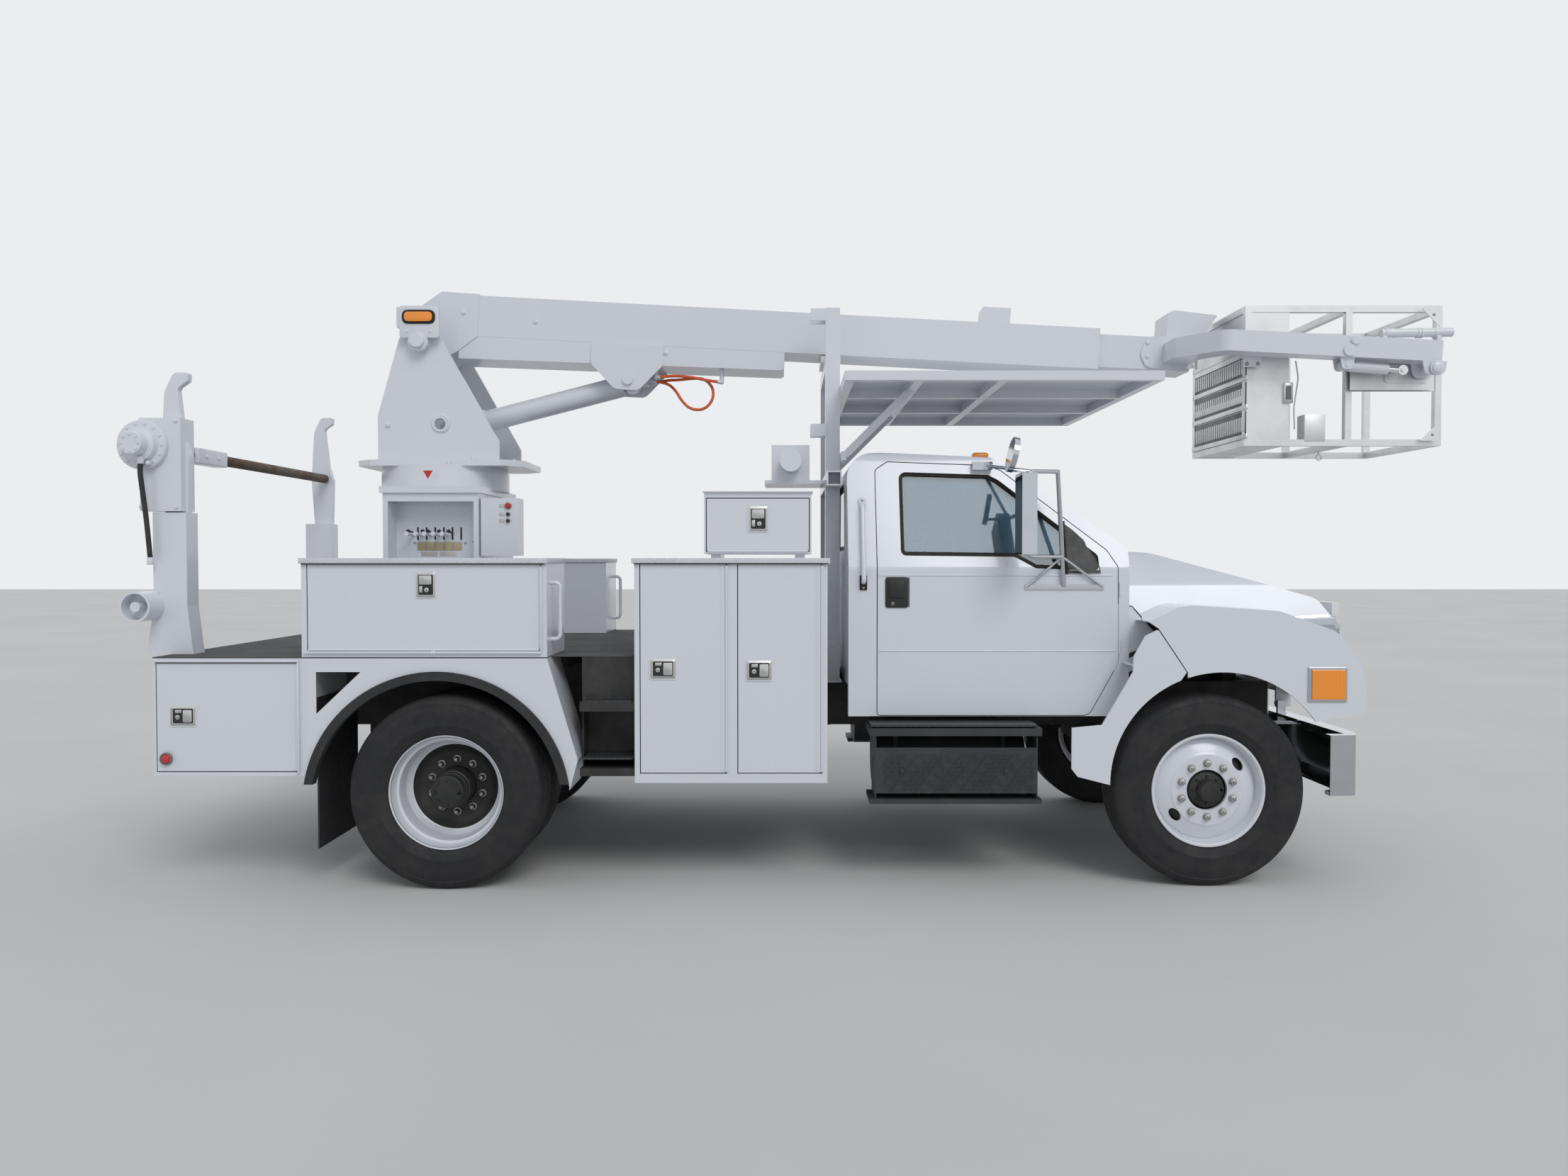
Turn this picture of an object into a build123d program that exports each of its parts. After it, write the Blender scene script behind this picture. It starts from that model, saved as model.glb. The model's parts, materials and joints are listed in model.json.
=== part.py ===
import os
from math import cos, radians, sin, sqrt, tan

from build123d import *

os.makedirs("parts", exist_ok=True)

# A two-axle service truck with a telescopic man-lift boom. +X is forward, +Y is the truck's left,
# +Z is up, the floor is z = 0 and the origin is under the middle of its outer box.
# Lengths are millimetres. Stations along the truck are measured forward of the rear axle.
rear_axle = -1925.0
wheelbase = 4030.0
cab_to_axle = 2125.0
front_axle = rear_axle + wheelbase
cab_back = rear_axle + cab_to_axle
hands = (("right", -1), ("left", 1))

# Tyres, rims, hubs
tyre_radius = 511.0
tyre_width = 262.0
tyre_bead = 292.0
rim_radius = 300.0
rim_width = 224.0
rim_wall = 9.0
rim_well = 38.0
front_half_track = 1029.0
dual_outer = 1088.0
dual_spacing = 322.0
dual_centre = dual_outer - dual_spacing / 2
disc_wall = 11.0
bolt_circle = 143.0
bolt_count = 10
hub_radius = 108.0
hub_bore = 40.0
running_gap = 0.4
seat_gap = 0.3
spindle_radius = hub_bore - running_gap
drum_radius = 205.0
drum_wall = 14.0

# Ladder frame and axles
rail_half = 432.0
rail_top = 1016.0
rail_height = 254.0
rail_flange = 86.0
rail_web = 10.0
rail_rear = 1470.0
rail_nose = 610.0
cross_depth = 90.0
cross_width = 60.0
spring_half = 392.0
spring_width = 76.0
leaf_height = 13.0
leaf_count = 5
axle_beam_width = 90.0
axle_beam_height = 96.0
kingpin_half = 895.0
kingpin_radius = 26.0
kingpin_boss = 44.0
kingpin_boss_height = 150.0
yoke_gap = 0.5
yoke_lug = 34.0
rear_tube_radius = 70.0
differential_radius = 190.0

# Body: deck, bins and cabinets
body_half = 1220.0
bin_depth = 470.0
sheet = 4.0
deck_top = 1228.0
deck_plate = 6.0
sill_width = 80.0
sill_height = 110.0
body_rear = 1520.0
rear_bin_front = 690.0
rear_bin_bottom = 605.0
wheel_bin_rear = 740.0
wheel_bin_front = 540.0
wheel_bin_top = 1735.0
arch_centre = -40.0
arch_centre_height = 452.0
arch_radius = 700.0
arch_foot = 590.0
flare_width = 46.0
flare_height = 34.0
cabinet_rear = 996.0
cabinet_front = 2004.0
cabinet_bottom = 568.0
cabinet_top = 1735.0
step_inset = 100.0
door_thickness = 24.0
door_gap = 5.0
hinge_radius = 6.0
hinge_stand = 7.0
latch_width = 112.0
latch_length = 140.0
latch_thickness = 5.0

# Cab
cab_half = 1015.0
cab_roof_half = 800.0
cab_length = 1515.0
cab_bottom = 890.0
cab_floor = 1090.0
floor_plate = 40.0
cab_mounts = (170.0, 1150.0)
cab_mount_radius = 42.0
cab_belt = 1690.0
cab_roof_rear = 2336.0
cab_roof_front = 2306.0
cab_wall = 44.0
cowl_height = 1796.0
door_rear = 152.0
door_front = 1462.0
cab_door_gap = 5.0
cab_hinge_radius = 6.0
glass = 6.0

# Hood, fenders, bumper
hood_wall = 12.0
hood_half = 905.0
fender_half = 1218.0
hood_nose = 812.0
front_arch_offset = 42.0
front_arch_height = 561.0
front_arch_radius = 587.0
hood_hinge_x = 730.0
hood_hinge_height = 872.0
hood_pin_radius = 11.0
bumper_top = 812.0
bumper_bottom = 492.0
bumper_nose = 838.0
bumper_depth = 200.0
bumper_half = 1185.0
bumper_wall = 8.0

# Pedestal, turret and boom
swing_offset = 340.0
swing_x = rear_axle - swing_offset
pedestal_half_length = 282.0
pedestal_half_width = 425.0
pedestal_top = 2130.0
drum_top = 2272.0
slew_radius = 385.0
turret_plate_top = 2336.0
turret_half = 300.0
turret_plate = 25.0
pivot_x = rear_axle - 400.0
pivot_height = 3039.0
pivot_radius = 45.0
boom_slope = 3.0
boom_bottom = 80.0
boom_top = 327.0
boom_half = 160.0
boom_wall = 8.0
boom_mouth = 4100.0
inner_bottom = 100.0
inner_top = 300.0
inner_half = 122.0
inner_rear = 500.0
cylinder_radius = 66.0
rod_radius = 36.0
lift_pin_x = rear_axle + 823.0
lift_pin_height = 2836.0
lift_eye_x = rear_axle - 285.0
lift_eye_rise = 279.0
lift_eye_height = drum_top + lift_eye_rise

# Work platform
platform_pin_x = rear_axle + 5493.0
platform_pin_height = 2829.0
basket_rear = rear_axle + 4480.0
basket_front = rear_axle + 5635.0
basket_near = -450.0
basket_far = 400.0
basket_bottom = 2405.0
basket_top = 3225.0
basket_tube = 38.0

level_pin = (rear_axle + 4997.0, 2852.0)
crank_pin = (platform_pin_x - 162.0, platform_pin_height - 3.0)
level_y = -575.0
level_radius = 31.0
level_rod_radius = 16.0
level_pin_radius = 14.0

# Boom rest, cab guard, reel stands
rest_x = rear_axle + 2062.0
rest_y = -430.0
mast_half = 42.0
mast_top = 3207.0
guard_height = 2722.0
guard_front = rear_axle + 3813.0
guard_half = 1020.0
guard_tube = 50.0
reel_x = rear_axle - 1522.0
reel_half = 975.0
spindle_x = rear_axle - 1480.0
spindle_height = 2310.0


def slab(xs, ys, zs, mode=Mode.ADD):
    # a square-cornered block between two stations on each axis
    spans = [(min(span), max(span)) for span in (xs, ys, zs)]
    centre = tuple((low + high) / 2 for low, high in spans)
    with Locations(centre):
        Box(*[high - low for low, high in spans], mode=mode)


def side_plate(points, ys, mode=Mode.ADD, radius=0, inset=0):
    # an outline drawn from the side, as (x, z), as thick as ys, drawn in by the inset
    near, far = sorted(ys)
    with BuildSketch(Plane.XZ.offset(-far)) as outline:
        with BuildLine():
            FilletPolyline(*points, radius=radius, close=True)
        make_face()
        if inset:
            offset(amount=-inset)
    extrude(outline.sketch, amount=far - near, mode=mode)


def plan_plate(points, zs, mode=Mode.ADD, radius=0):
    # an outline drawn from above, as (x, y), as thick as zs
    low, high = sorted(zs)
    with BuildSketch(Plane.XY.offset(low)) as outline:
        with BuildLine():
            FilletPolyline(*points, radius=radius, close=True)
        make_face()
    extrude(outline.sketch, amount=high - low, mode=mode)


def cross_plate(points, xs, mode=Mode.ADD, radius=0):
    # an outline drawn from behind, as (y, z), as thick as xs
    rear, front = sorted(xs)
    with BuildSketch(Plane.YZ.offset(rear)) as outline:
        with BuildLine():
            FilletPolyline(*points, radius=radius, close=True)
        make_face()
    extrude(outline.sketch, amount=front - rear, mode=mode)


def rod(start, end, radius, mode=Mode.ADD):
    # a round bar between two points
    run = Vector(*end) - Vector(*start)
    with BuildSketch(Plane(origin=start, z_dir=run)) as section:
        Circle(radius)
    extrude(section.sketch, amount=run.length, mode=mode)


def bar(start, end, width, depth, mode=Mode.ADD):
    # a rectangular bar between two points, its width kept level where it can be
    run = Vector(*end) - Vector(*start)
    level = Vector(0, 0, 1).cross(run)
    if level.length < 1:
        level = Vector(0, 1, 0)
    with BuildSketch(Plane(origin=start, x_dir=level, z_dir=run)) as section:
        Rectangle(width, depth)
    extrude(section.sketch, amount=run.length, mode=mode)


def bent_tube(points, bend, radius):
    # a round tube along straight runs joined by arcs
    with BuildLine() as path:
        FilletPolyline(*points, radius=bend)
    with BuildSketch(Plane(origin=path.line @ 0, z_dir=path.line % 0)) as section:
        Circle(radius)
    sweep(section.sketch, path=path.line)


def turned(points, centre, mode=Mode.ADD):
    # a closed outline of (radius, y) turned about a level line across the truck
    x, z = centre
    with BuildSketch(Plane(origin=(x, 0, z), x_dir=(1, 0, 0), z_dir=(0, 0, 1))) as outline:
        with BuildLine():
            Polyline(*points, close=True)
        make_face()
    revolve(outline.sketch, axis=Axis((x, 0, z), (0, 1, 0)), mode=mode)


def outward(points, side, centre):
    # outline points given as (radius, distance outward from centre) for one side of the truck
    return [(radius, side * (centre + reach)) for radius, reach in points]


def at_boom(u, v):
    # a point given along and above the boom's own line through its pivot, as (x, z)
    slope = radians(boom_slope)
    return (pivot_x + u * cos(slope) + v * sin(slope), pivot_height - u * sin(slope) + v * cos(slope))


# Tyres: tread band, rounded shoulders and side walls, one closed ring each
shoulder = 34.0
tread_half = tyre_width / 2 - 18
bead_half = rim_width / 2 - rim_wall - 0.5
tyre_section = [
    (tyre_bead, -bead_half),
    (rim_radius + 2, -bead_half),
    (tyre_bead + 60, -tyre_width / 2 + 4),
    (tyre_bead + 120, -tyre_width / 2),
    (tyre_radius - 46, -tyre_width / 2 + 5),
    (tyre_radius - 12, -tread_half),
    (tyre_radius, -tread_half + shoulder),
    (tyre_radius, tread_half - shoulder),
    (tyre_radius - 12, tread_half),
    (tyre_radius - 46, tyre_width / 2 - 5),
    (tyre_bead + 120, tyre_width / 2),
    (tyre_bead + 60, tyre_width / 2 - 4),
    (rim_radius + 2, bead_half),
    (tyre_bead, bead_half),
]
for hand, side in hands:
    with BuildPart() as front_tyre:
        turned(outward(tyre_section, side, front_half_track), (front_axle, tyre_radius))
    front_tyre.part.label = f"front_tyre_{hand}"
    export_step(front_tyre.part, f"parts/front_tyre_{hand}.step")
    with BuildPart() as rear_tyres:
        turned(outward(tyre_section, side, dual_outer), (rear_axle, tyre_radius))
        turned(outward(tyre_section, side, dual_outer - dual_spacing), (rear_axle, tyre_radius))
    rear_tyres.part.label = f"rear_tyres_{hand}"
    export_step(rear_tyres.part, f"parts/rear_tyres_{hand}.step")

# Rims: a rolled barrel with its flanges and well, as (radius, distance outward from its middle)
half_rim = rim_width / 2
seat = tyre_bead - 0.5
well = seat - rim_well
rim_section = [
    (rim_radius, half_rim),
    (rim_radius, half_rim - rim_wall),
    (seat, half_rim - rim_wall),
    (seat, 44),
    (well, 14),
    (well, -34),
    (seat, -62),
    (seat, -half_rim + rim_wall),
    (rim_radius, -half_rim + rim_wall),
    (rim_radius, -half_rim),
    (seat - rim_wall, -half_rim),
    (seat - rim_wall, -66),
    (well - rim_wall, -38),
    (well - rim_wall, 18),
    (seat - rim_wall, 48),
    (seat - rim_wall, half_rim),
]


def wheel_disc(side, centre, rise, face):
    # a dished wheel disc from the barrel (reach rise) to its flat bolting face (reach face)
    step = disc_wall if face > rise else -disc_wall
    mid = rise + (face - rise) * 0.75
    section = [
        (seat - rim_wall / 2, rise),
        (seat - rim_wall / 2, rise + step),
        (seat - 55, mid + step),
        (bolt_circle + 42, face + step),
        (hub_radius - 2, face + step),
        (hub_radius - 2, face),
        (bolt_circle + 40, face),
        (seat - 60, mid),
    ]
    turned(outward(section, side, centre), (wheel_x, tyre_radius))


def hub_shell(side, centre, face, inner, nose, cap, drum_inner, drum_outer):
    # hub barrel with its bore, its nose and the brake drum behind the disc
    section = [
        (hub_bore, inner),
        (hub_radius, inner),
        (hub_radius, drum_outer - drum_wall),
        (drum_radius - drum_wall, drum_outer - drum_wall),
        (drum_radius - drum_wall, drum_inner),
        (drum_radius, drum_inner),
        (drum_radius, drum_outer),
        (hub_radius, drum_outer),
        (hub_radius, face),
        (hub_radius - 8, face + 20),
        (cap, face + 20),
        (cap - 6, nose),
        (0, nose),
        (0, nose - 40),
        (hub_bore, nose - 40),
    ]
    turned(outward(section, side, centre), (wheel_x, tyre_radius))


def bolt_ring(side, centre, face, length):
    # stud ends with their nuts, on the bolt circle
    for number in range(bolt_count):
        angle = radians(360 / bolt_count * (number + 0.5))
        x = wheel_x + bolt_circle * cos(angle)
        z = tyre_radius + bolt_circle * sin(angle)
        rod((x, side * (centre + face - 2), z), (x, side * (centre + face + length), z), 15)


def hand_holes(side, centre, reaches, count, radius, size):
    # round hand holes through the disc
    for number in range(count):
        angle = radians(360 / count * number + 20)
        x = wheel_x + radius * cos(angle)
        z = tyre_radius + radius * sin(angle)
        ends = [(x, side * (centre + reach), z) for reach in reaches]
        rod(*ends, size, mode=Mode.SUBTRACT)


front_face = 74.0
front_hub_inner = -8.0
front_hub_nose = 150.0
for hand, side in hands:
    wheel_x = front_axle
    with BuildPart() as front_wheel:
        turned(outward(rim_section, side, front_half_track), (front_axle, tyre_radius))
        wheel_disc(side, front_half_track, 30, front_face)
        hand_holes(side, front_half_track, (0, front_face + 60), 5, 215, 26)
        hub_shell(side, front_half_track, front_face, front_hub_inner, front_hub_nose, 70, -128, -8)
        bolt_ring(side, front_half_track, front_face + disc_wall, 24)
    front_wheel.part.label = f"front_wheel_{hand}"
    export_step(front_wheel.part, f"parts/front_wheel_{hand}.step")
    wheel_x = rear_axle
    with BuildPart() as rear_wheels:
        for middle, rise, face in ((dual_outer, 66, 0), (dual_outer - dual_spacing, -66, 0)):
            turned(outward(rim_section, side, middle), (rear_axle, tyre_radius))
            turn = 1 if rise > 0 else -1
            wheel_disc(side, dual_centre, turn * (dual_spacing / 2 - 30), turn * disc_wall)
        hand_holes(side, dual_centre, (-150, 150), 5, 215, 26)
        hub_shell(side, dual_centre, 2 * disc_wall, -150, 150, 86, -230, -112)
        bolt_ring(side, dual_centre, 0, 40)
    rear_wheels.part.label = f"rear_wheels_{hand}"
    export_step(rear_wheels.part, f"parts/rear_wheels_{hand}.step")

# Front axle: dropped I-beam with kingpin bosses, and its leaf springs
beam_low = tyre_radius - 95
boss_low = tyre_radius - kingpin_boss_height / 2
boss_high = tyre_radius + kingpin_boss_height / 2
spring_seat_top = beam_low + axle_beam_height


def leaf_spring(x, y, seat_height, half_length, eye_height):
    # a stack of leaves, each shorter than the one above, curved up to the eyes
    for leaf in range(leaf_count):
        length = half_length * (1 - 0.15 * leaf)
        drop = leaf * leaf_height
        rise = (eye_height - seat_height - leaf_count * leaf_height) * (length / half_length) ** 2
        base = seat_height + leaf_count * leaf_height - drop
        with BuildSketch(Plane.XZ.offset(-(y + spring_width / 2))) as outline:
            with BuildLine():
                top = ThreePointArc((x - length, base + rise), (x, base), (x + length, base + rise))
                low = ThreePointArc(
                    (x - length, base + rise - leaf_height),
                    (x, base - leaf_height),
                    (x + length, base + rise - leaf_height),
                )
                Line(top @ 0, low @ 0)
                Line(top @ 1, low @ 1)
            make_face()
        extrude(outline.sketch, amount=spring_width)


with BuildPart() as front_axle_beam:
    cross_plate(
        [
            (-kingpin_half, boss_low + 20),
            (-kingpin_half, boss_high - 20),
            (-760, beam_low + axle_beam_height + 20),
            (-620, beam_low + axle_beam_height),
            (620, beam_low + axle_beam_height),
            (760, beam_low + axle_beam_height + 20),
            (kingpin_half, boss_high - 20),
            (kingpin_half, boss_low + 20),
            (760, beam_low),
            (-760, beam_low),
        ],
        (front_axle - axle_beam_width / 2, front_axle + axle_beam_width / 2),
    )
    for web_side in (-1, 1):
        web_face = front_axle + web_side * axle_beam_width / 2
        slab((web_face, web_face - web_side * 30), (-600, 600), (beam_low + 18, beam_low + 78), Mode.SUBTRACT)
    for hand, side in hands:
        y = side * kingpin_half
        rod((front_axle, y, boss_low), (front_axle, y, boss_high), kingpin_boss)
        leaf_spring(front_axle, side * spring_half, spring_seat_top, 560, rail_top - rail_height - 60)
        slab(
            (front_axle - 70, front_axle + 70),
            (side * (spring_half - 50), side * (spring_half + 50)),
            (spring_seat_top - 4, spring_seat_top + 6),
        )
    for hand, side in hands:
        y = side * kingpin_half
        rod(
            (front_axle, y, boss_low - 1),
            (front_axle, y, boss_high + 1),
            kingpin_radius + running_gap,
            Mode.SUBTRACT,
        )
front_axle_beam.part.label = "front_axle"
export_step(front_axle_beam.part, "parts/front_axle.step")

# Knuckles: a yoke round the kingpin boss, the kingpin itself, the spindle and a steering arm
for hand, side in hands:
    with BuildPart() as knuckle:
        lug_high = boss_high + yoke_gap
        lug_low = boss_low - yoke_gap
        plate_in = kingpin_half + kingpin_boss + 8
        plate_out = plate_in + 34
        for low, high in ((lug_high, lug_high + yoke_lug), (lug_low - yoke_lug, lug_low)):
            rod((front_axle, side * kingpin_half, low), (front_axle, side * kingpin_half, high), kingpin_boss)
            slab(
                (front_axle - kingpin_boss, front_axle + kingpin_boss),
                (side * kingpin_half, side * plate_out),
                (low, high),
            )
        slab(
            (front_axle - 60, front_axle + 60),
            (side * plate_in, side * plate_out),
            (lug_low - yoke_lug, lug_high + yoke_lug),
        )
        rod(
            (front_axle, side * kingpin_half, lug_low - yoke_lug),
            (front_axle, side * kingpin_half, lug_high + yoke_lug),
            kingpin_radius,
        )
        rod(
            (front_axle, side * plate_out, tyre_radius),
            (front_axle, side * (front_half_track + 96), tyre_radius),
            spindle_radius,
        )
        bar(
            (front_axle - 30, side * (plate_in + 10), lug_low - 17),
            (front_axle - 200, side * (kingpin_half - 60), lug_low - 17),
            46,
            26,
        )
    knuckle.part.label = f"knuckle_{hand}"
    export_step(knuckle.part, f"parts/knuckle_{hand}.step")

# Rear axle: housing tube, differential bowl, hollow stub ends and leaf springs
with BuildPart() as rear_axle_housing:
    rod((rear_axle, -620, tyre_radius), (rear_axle, 620, tyre_radius), rear_tube_radius)
    for hand, side in hands:
        stub_end = dual_centre + 70
        rod((rear_axle, side * 600, tyre_radius), (rear_axle, side * stub_end, tyre_radius), spindle_radius)
        leaf_spring(
            rear_axle,
            side * spring_half,
            tyre_radius + rear_tube_radius + 4,
            640,
            rail_top - rail_height - 50,
        )
        slab(
            (rear_axle - 80, rear_axle + 80),
            (side * (spring_half - 50), side * (spring_half + 50)),
            (tyre_radius + 50, tyre_radius + rear_tube_radius + 6),
        )
    turned([(0, -120), (differential_radius - 60, -120), (differential_radius, -50), (differential_radius, 50),
            (differential_radius - 60, 120), (0, 120)], (rear_axle, tyre_radius))
    rod((rear_axle + 100, 0, tyre_radius), (rear_axle + 330, 0, tyre_radius + 26), 66)
rear_axle_housing.part.label = "rear_axle"
export_step(rear_axle_housing.part, "parts/rear_axle.step")

# Ladder frame: two channel rails, cross members, spring hangers
rail_bottom = rail_top - rail_height
rail_start = rear_axle - rail_rear
rail_end = front_axle + rail_nose
with BuildPart() as chassis_frame:
    for hand, side in hands:
        slab(
            (rail_start, rail_end),
            (side * (rail_half - rail_flange), side * rail_half),
            (rail_bottom, rail_top),
        )
        slab(
            (rail_start - 1, rail_end + 1),
            (side * (rail_half - rail_flange - 1), side * (rail_half - rail_web)),
            (rail_bottom + rail_web, rail_top - rail_web),
            Mode.SUBTRACT,
        )
    cross_stations = (
        rail_start + 40,
        rear_axle - 700,
        rear_axle + 560,
        rear_axle + 1300,
        cab_back + 60,
        rail_end - 40,
    )
    for x in cross_stations:
        slab(
            (x - cross_width / 2, x + cross_width / 2),
            (-rail_half + rail_web / 2, rail_half - rail_web / 2),
            (rail_top - rail_web - cross_depth, rail_top - rail_web),
        )
    # spring hangers as (axle station, half length of its spring, eye height)
    hangers = (
        (front_axle, 560, rail_top - rail_height - 60),
        (rear_axle, 640, rail_top - rail_height - 50),
    )
    for x, half_length, eye in hangers:
        for end in (-1, 1):
            for hand, side in hands:
                slab(
                    (x + end * (half_length - 34), x + end * (half_length + 34)),
                    (side * (spring_half - spring_width / 2), side * (spring_half + spring_width / 2)),
                    (eye + 0.3, rail_bottom + rail_web / 2),
                )
    for mount in cab_mounts:
        for hand, side in hands:
            x, y = cab_back + mount, side * (rail_half - cab_mount_radius)
            rod((x, y, rail_top - 1), (x, y, cab_floor - floor_plate - seat_gap), cab_mount_radius)
chassis_frame.part.label = "chassis_frame"
export_step(chassis_frame.part, "parts/chassis_frame.step")

# Driveline: engine block, gearbox, propeller shaft and radiator, all plain outer shapes
engine_rear = cab_back + cab_length + 30.0
engine_front = front_axle + 310.0
gearbox_rear = engine_rear - 620.0
with BuildPart() as driveline:
    slab((engine_rear, engine_front), (-290, 290), (rail_top - 200, rail_top + 340))
    slab((gearbox_rear, engine_rear), (-170, 170), (rail_top - 260, rail_top + 20))
    rod((gearbox_rear + 10, 0, rail_top - 150), (rear_axle + 331, 0, tyre_radius + 27), 48)
    slab((engine_front + 70, engine_front + 150), (-335, 335), (rail_top - 90, rail_top + 400))
    for hand, side in hands:
        slab(
            (engine_front + 70, engine_front + 150),
            (side * 330, side * (rail_half - rail_web - 0.3)),
            (rail_top - 90, rail_top - 20),
        )
        slab(
            (engine_rear + 300, engine_rear + 420),
            (side * 280, side * (rail_half - rail_web - 0.3)),
            (rail_top - 150, rail_top - 60),
        )
driveline.part.label = "driveline"
export_step(driveline.part, "parts/driveline.step")

# Side steps: muffler box guard on the right, fuel tank on the left, a tread above and below each
step_rear_end = cab_back + 105.0
step_front_end = cab_back + 1015.0
step_outer = 1165.0
with BuildPart() as side_steps:
    for hand, side in hands:
        slab((step_rear_end, step_front_end), (side * 860, side * step_outer), (806, 846))
        slab((step_rear_end, step_front_end), (side * 900, side * step_outer), (445, 470))
        if hand == "right":
            rod((step_rear_end + 40, side * 790, 640), (step_front_end - 40, side * 790, 640), 150)
            slab(
                (step_rear_end + 30, step_front_end - 20),
                (side * (step_outer - 20), side * (step_outer - 14)),
                (499, 742),
            )
            for x in (step_rear_end + 33, step_front_end - 23):
                slab((x - 3, x + 3), (side * 900, side * (step_outer - 14)), (469, 808))
        else:
            with BuildSketch(Plane.YZ.offset(step_rear_end + 30)) as tank:
                with Locations((side * 850, 640)):
                    RectangleRounded(480, 330, 90)
            extrude(tank.sketch, amount=step_front_end - step_rear_end - 60)
            for x in (step_rear_end + 160, step_front_end - 160):
                slab((x - 20, x + 20), (side * 880, side * step_outer), (469, 808))
        for x in (step_rear_end + 160, step_front_end - 160):
            slab((x - 25, x + 25), (side * (rail_half + 0.3), side * 900), (760, 825))
            slab((x - 25, x + 25), (side * (rail_half + 0.3), side * (rail_half + 12)), (760, 980))
        for x in (step_rear_end + 160, step_front_end - 160):
            slab((x - 12, x + 12), (side * 880, side * 925), (460, 770))
side_steps.part.label = "side_steps"
export_step(side_steps.part, "parts/side_steps.step")

# Front bumper: a channel bent round the corners, on two brackets from the rails
bumper_front = front_axle + bumper_nose - 15
with BuildPart() as front_bumper:
    bumper_plan = [
        (bumper_front - bumper_depth, -bumper_half),
        (bumper_front - 60, -bumper_half + 10),
        (bumper_front - 14, -bumper_half + 120),
        (bumper_front, 0),
        (bumper_front - 14, bumper_half - 120),
        (bumper_front - 60, bumper_half - 10),
        (bumper_front - bumper_depth, bumper_half),
    ]
    plan_plate(bumper_plan, (bumper_bottom, bumper_top), radius=[4, 40, 60, 2000, 60, 40, 4])
    inner_plan = [
        (bumper_front - bumper_depth - 1, -bumper_half + bumper_wall),
        (bumper_front - 66, -bumper_half + 16),
        (bumper_front - 22, -bumper_half + 124),
        (bumper_front - bumper_wall, 0),
        (bumper_front - 22, bumper_half - 124),
        (bumper_front - 66, bumper_half - 16),
        (bumper_front - bumper_depth - 1, bumper_half - bumper_wall),
    ]
    plan_plate(inner_plan, (bumper_bottom + 20, bumper_top - 20), Mode.SUBTRACT)
    slab(
        (bumper_front - bumper_depth - 1, bumper_front - bumper_depth + 100),
        (-bumper_half + 60, bumper_half - 60),
        (bumper_bottom - 1, bumper_top + 1),
        Mode.SUBTRACT,
    )
    for hand, side in hands:
        slab((rail_end + 0.3, bumper_front - 12), (side * 350, side * 420), (rail_bottom, bumper_top - 30))
        slab((rail_end + 0.3, rail_end + 12), (side * 350, side * 420), (rail_bottom, rail_top))
        hinge_point = front_axle + hood_hinge_x
        slab(
            (bumper_front - bumper_depth, bumper_front - 45),
            (side * 293, side * 327),
            (bumper_top - 21, bumper_top + 1),
            Mode.SUBTRACT,
        )
        slab(
            (hinge_point - 24, hinge_point + 24),
            (side * 332, side * 352),
            (bumper_top - 40, hood_hinge_height + 20),
        )
        rod(
            (hinge_point, side * 284, hood_hinge_height),
            (hinge_point, side * 340, hood_hinge_height),
            hood_pin_radius,
        )
front_bumper.part.label = "front_bumper"
export_step(front_bumper.part, "parts/front_bumper.step")

# Service deck: plate, two sills on the rails and short cross sills between the side boxes
deck_low = deck_top - deck_plate
sill_low = rail_top + seat_gap
sill_high = sill_low + sill_height
with BuildPart() as service_deck:
    deck_side = body_half - bin_depth
    half_outline = [
        (rear_axle - body_rear, body_half),
        (rear_axle + wheel_bin_front, body_half),
        (rear_axle + wheel_bin_front, body_half - step_inset),
        (rear_axle + cabinet_rear - seat_gap, body_half - step_inset),
        (rear_axle + cabinet_rear - seat_gap, deck_side - seat_gap),
        (rear_axle + cabinet_front, deck_side - seat_gap),
    ]
    outline = [(x, -y) for x, y in half_outline] + [(x, y) for x, y in reversed(half_outline)]
    plan_plate(outline, (deck_low, deck_top))
    for hand, side in hands:
        slab(
            (rail_start + 20, rear_axle + cabinet_front - 20),
            (side * (rail_half - sill_width), side * rail_half),
            (sill_low, sill_high),
        )
    for x in (-1450, -1100, -760, -330, 100, 520, 980, 1450, 1960):
        slab(
            (rear_axle + x - 35, rear_axle + x + 35),
            (-deck_side + 8, deck_side - 8),
            (sill_high, deck_low),
        )
service_deck.part.label = "service_deck"
export_step(service_deck.part, "parts/service_deck.step")


def bin_shell(xs, side, zs, depth=bin_depth, outer=body_half):
    # a closed sheet-metal box against one side of the truck
    low_x, high_x = xs
    low_z, high_z = zs
    slab(xs, (side * (outer - depth), side * outer), zs)
    slab(
        (low_x + sheet, high_x - sheet),
        (side * (outer - depth + sheet), side * (outer - sheet)),
        (low_z + sheet, high_z - sheet),
        Mode.SUBTRACT,
    )


def door_hole(xs, side, zs, outer=body_half):
    # the opening that a door lies in, cut through the outer skin
    slab(
        (xs[0] - door_gap, xs[1] + door_gap),
        (side * (outer - sheet - 1), side * (outer + 1)),
        (zs[0] - door_gap, zs[1] + door_gap),
        Mode.SUBTRACT,
    )


def hinge_strip(xs, zs, side, hinge, outer):
    # the fixed half of a door's hinge, a strip beside the door's knuckle
    face = (side * (outer - 1), side * (outer + hinge_stand))
    if hinge == "front":
        start = xs[1] + door_gap / 2 + hinge_radius + seat_gap
        slab((start, start + 5), face, (zs[0] + 6, zs[1] - 6))
    else:
        start = zs[0] - door_gap / 2 - hinge_radius - seat_gap
        slab((xs[0] + 6, xs[1] - 6), face, (start - 5, start))


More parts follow.
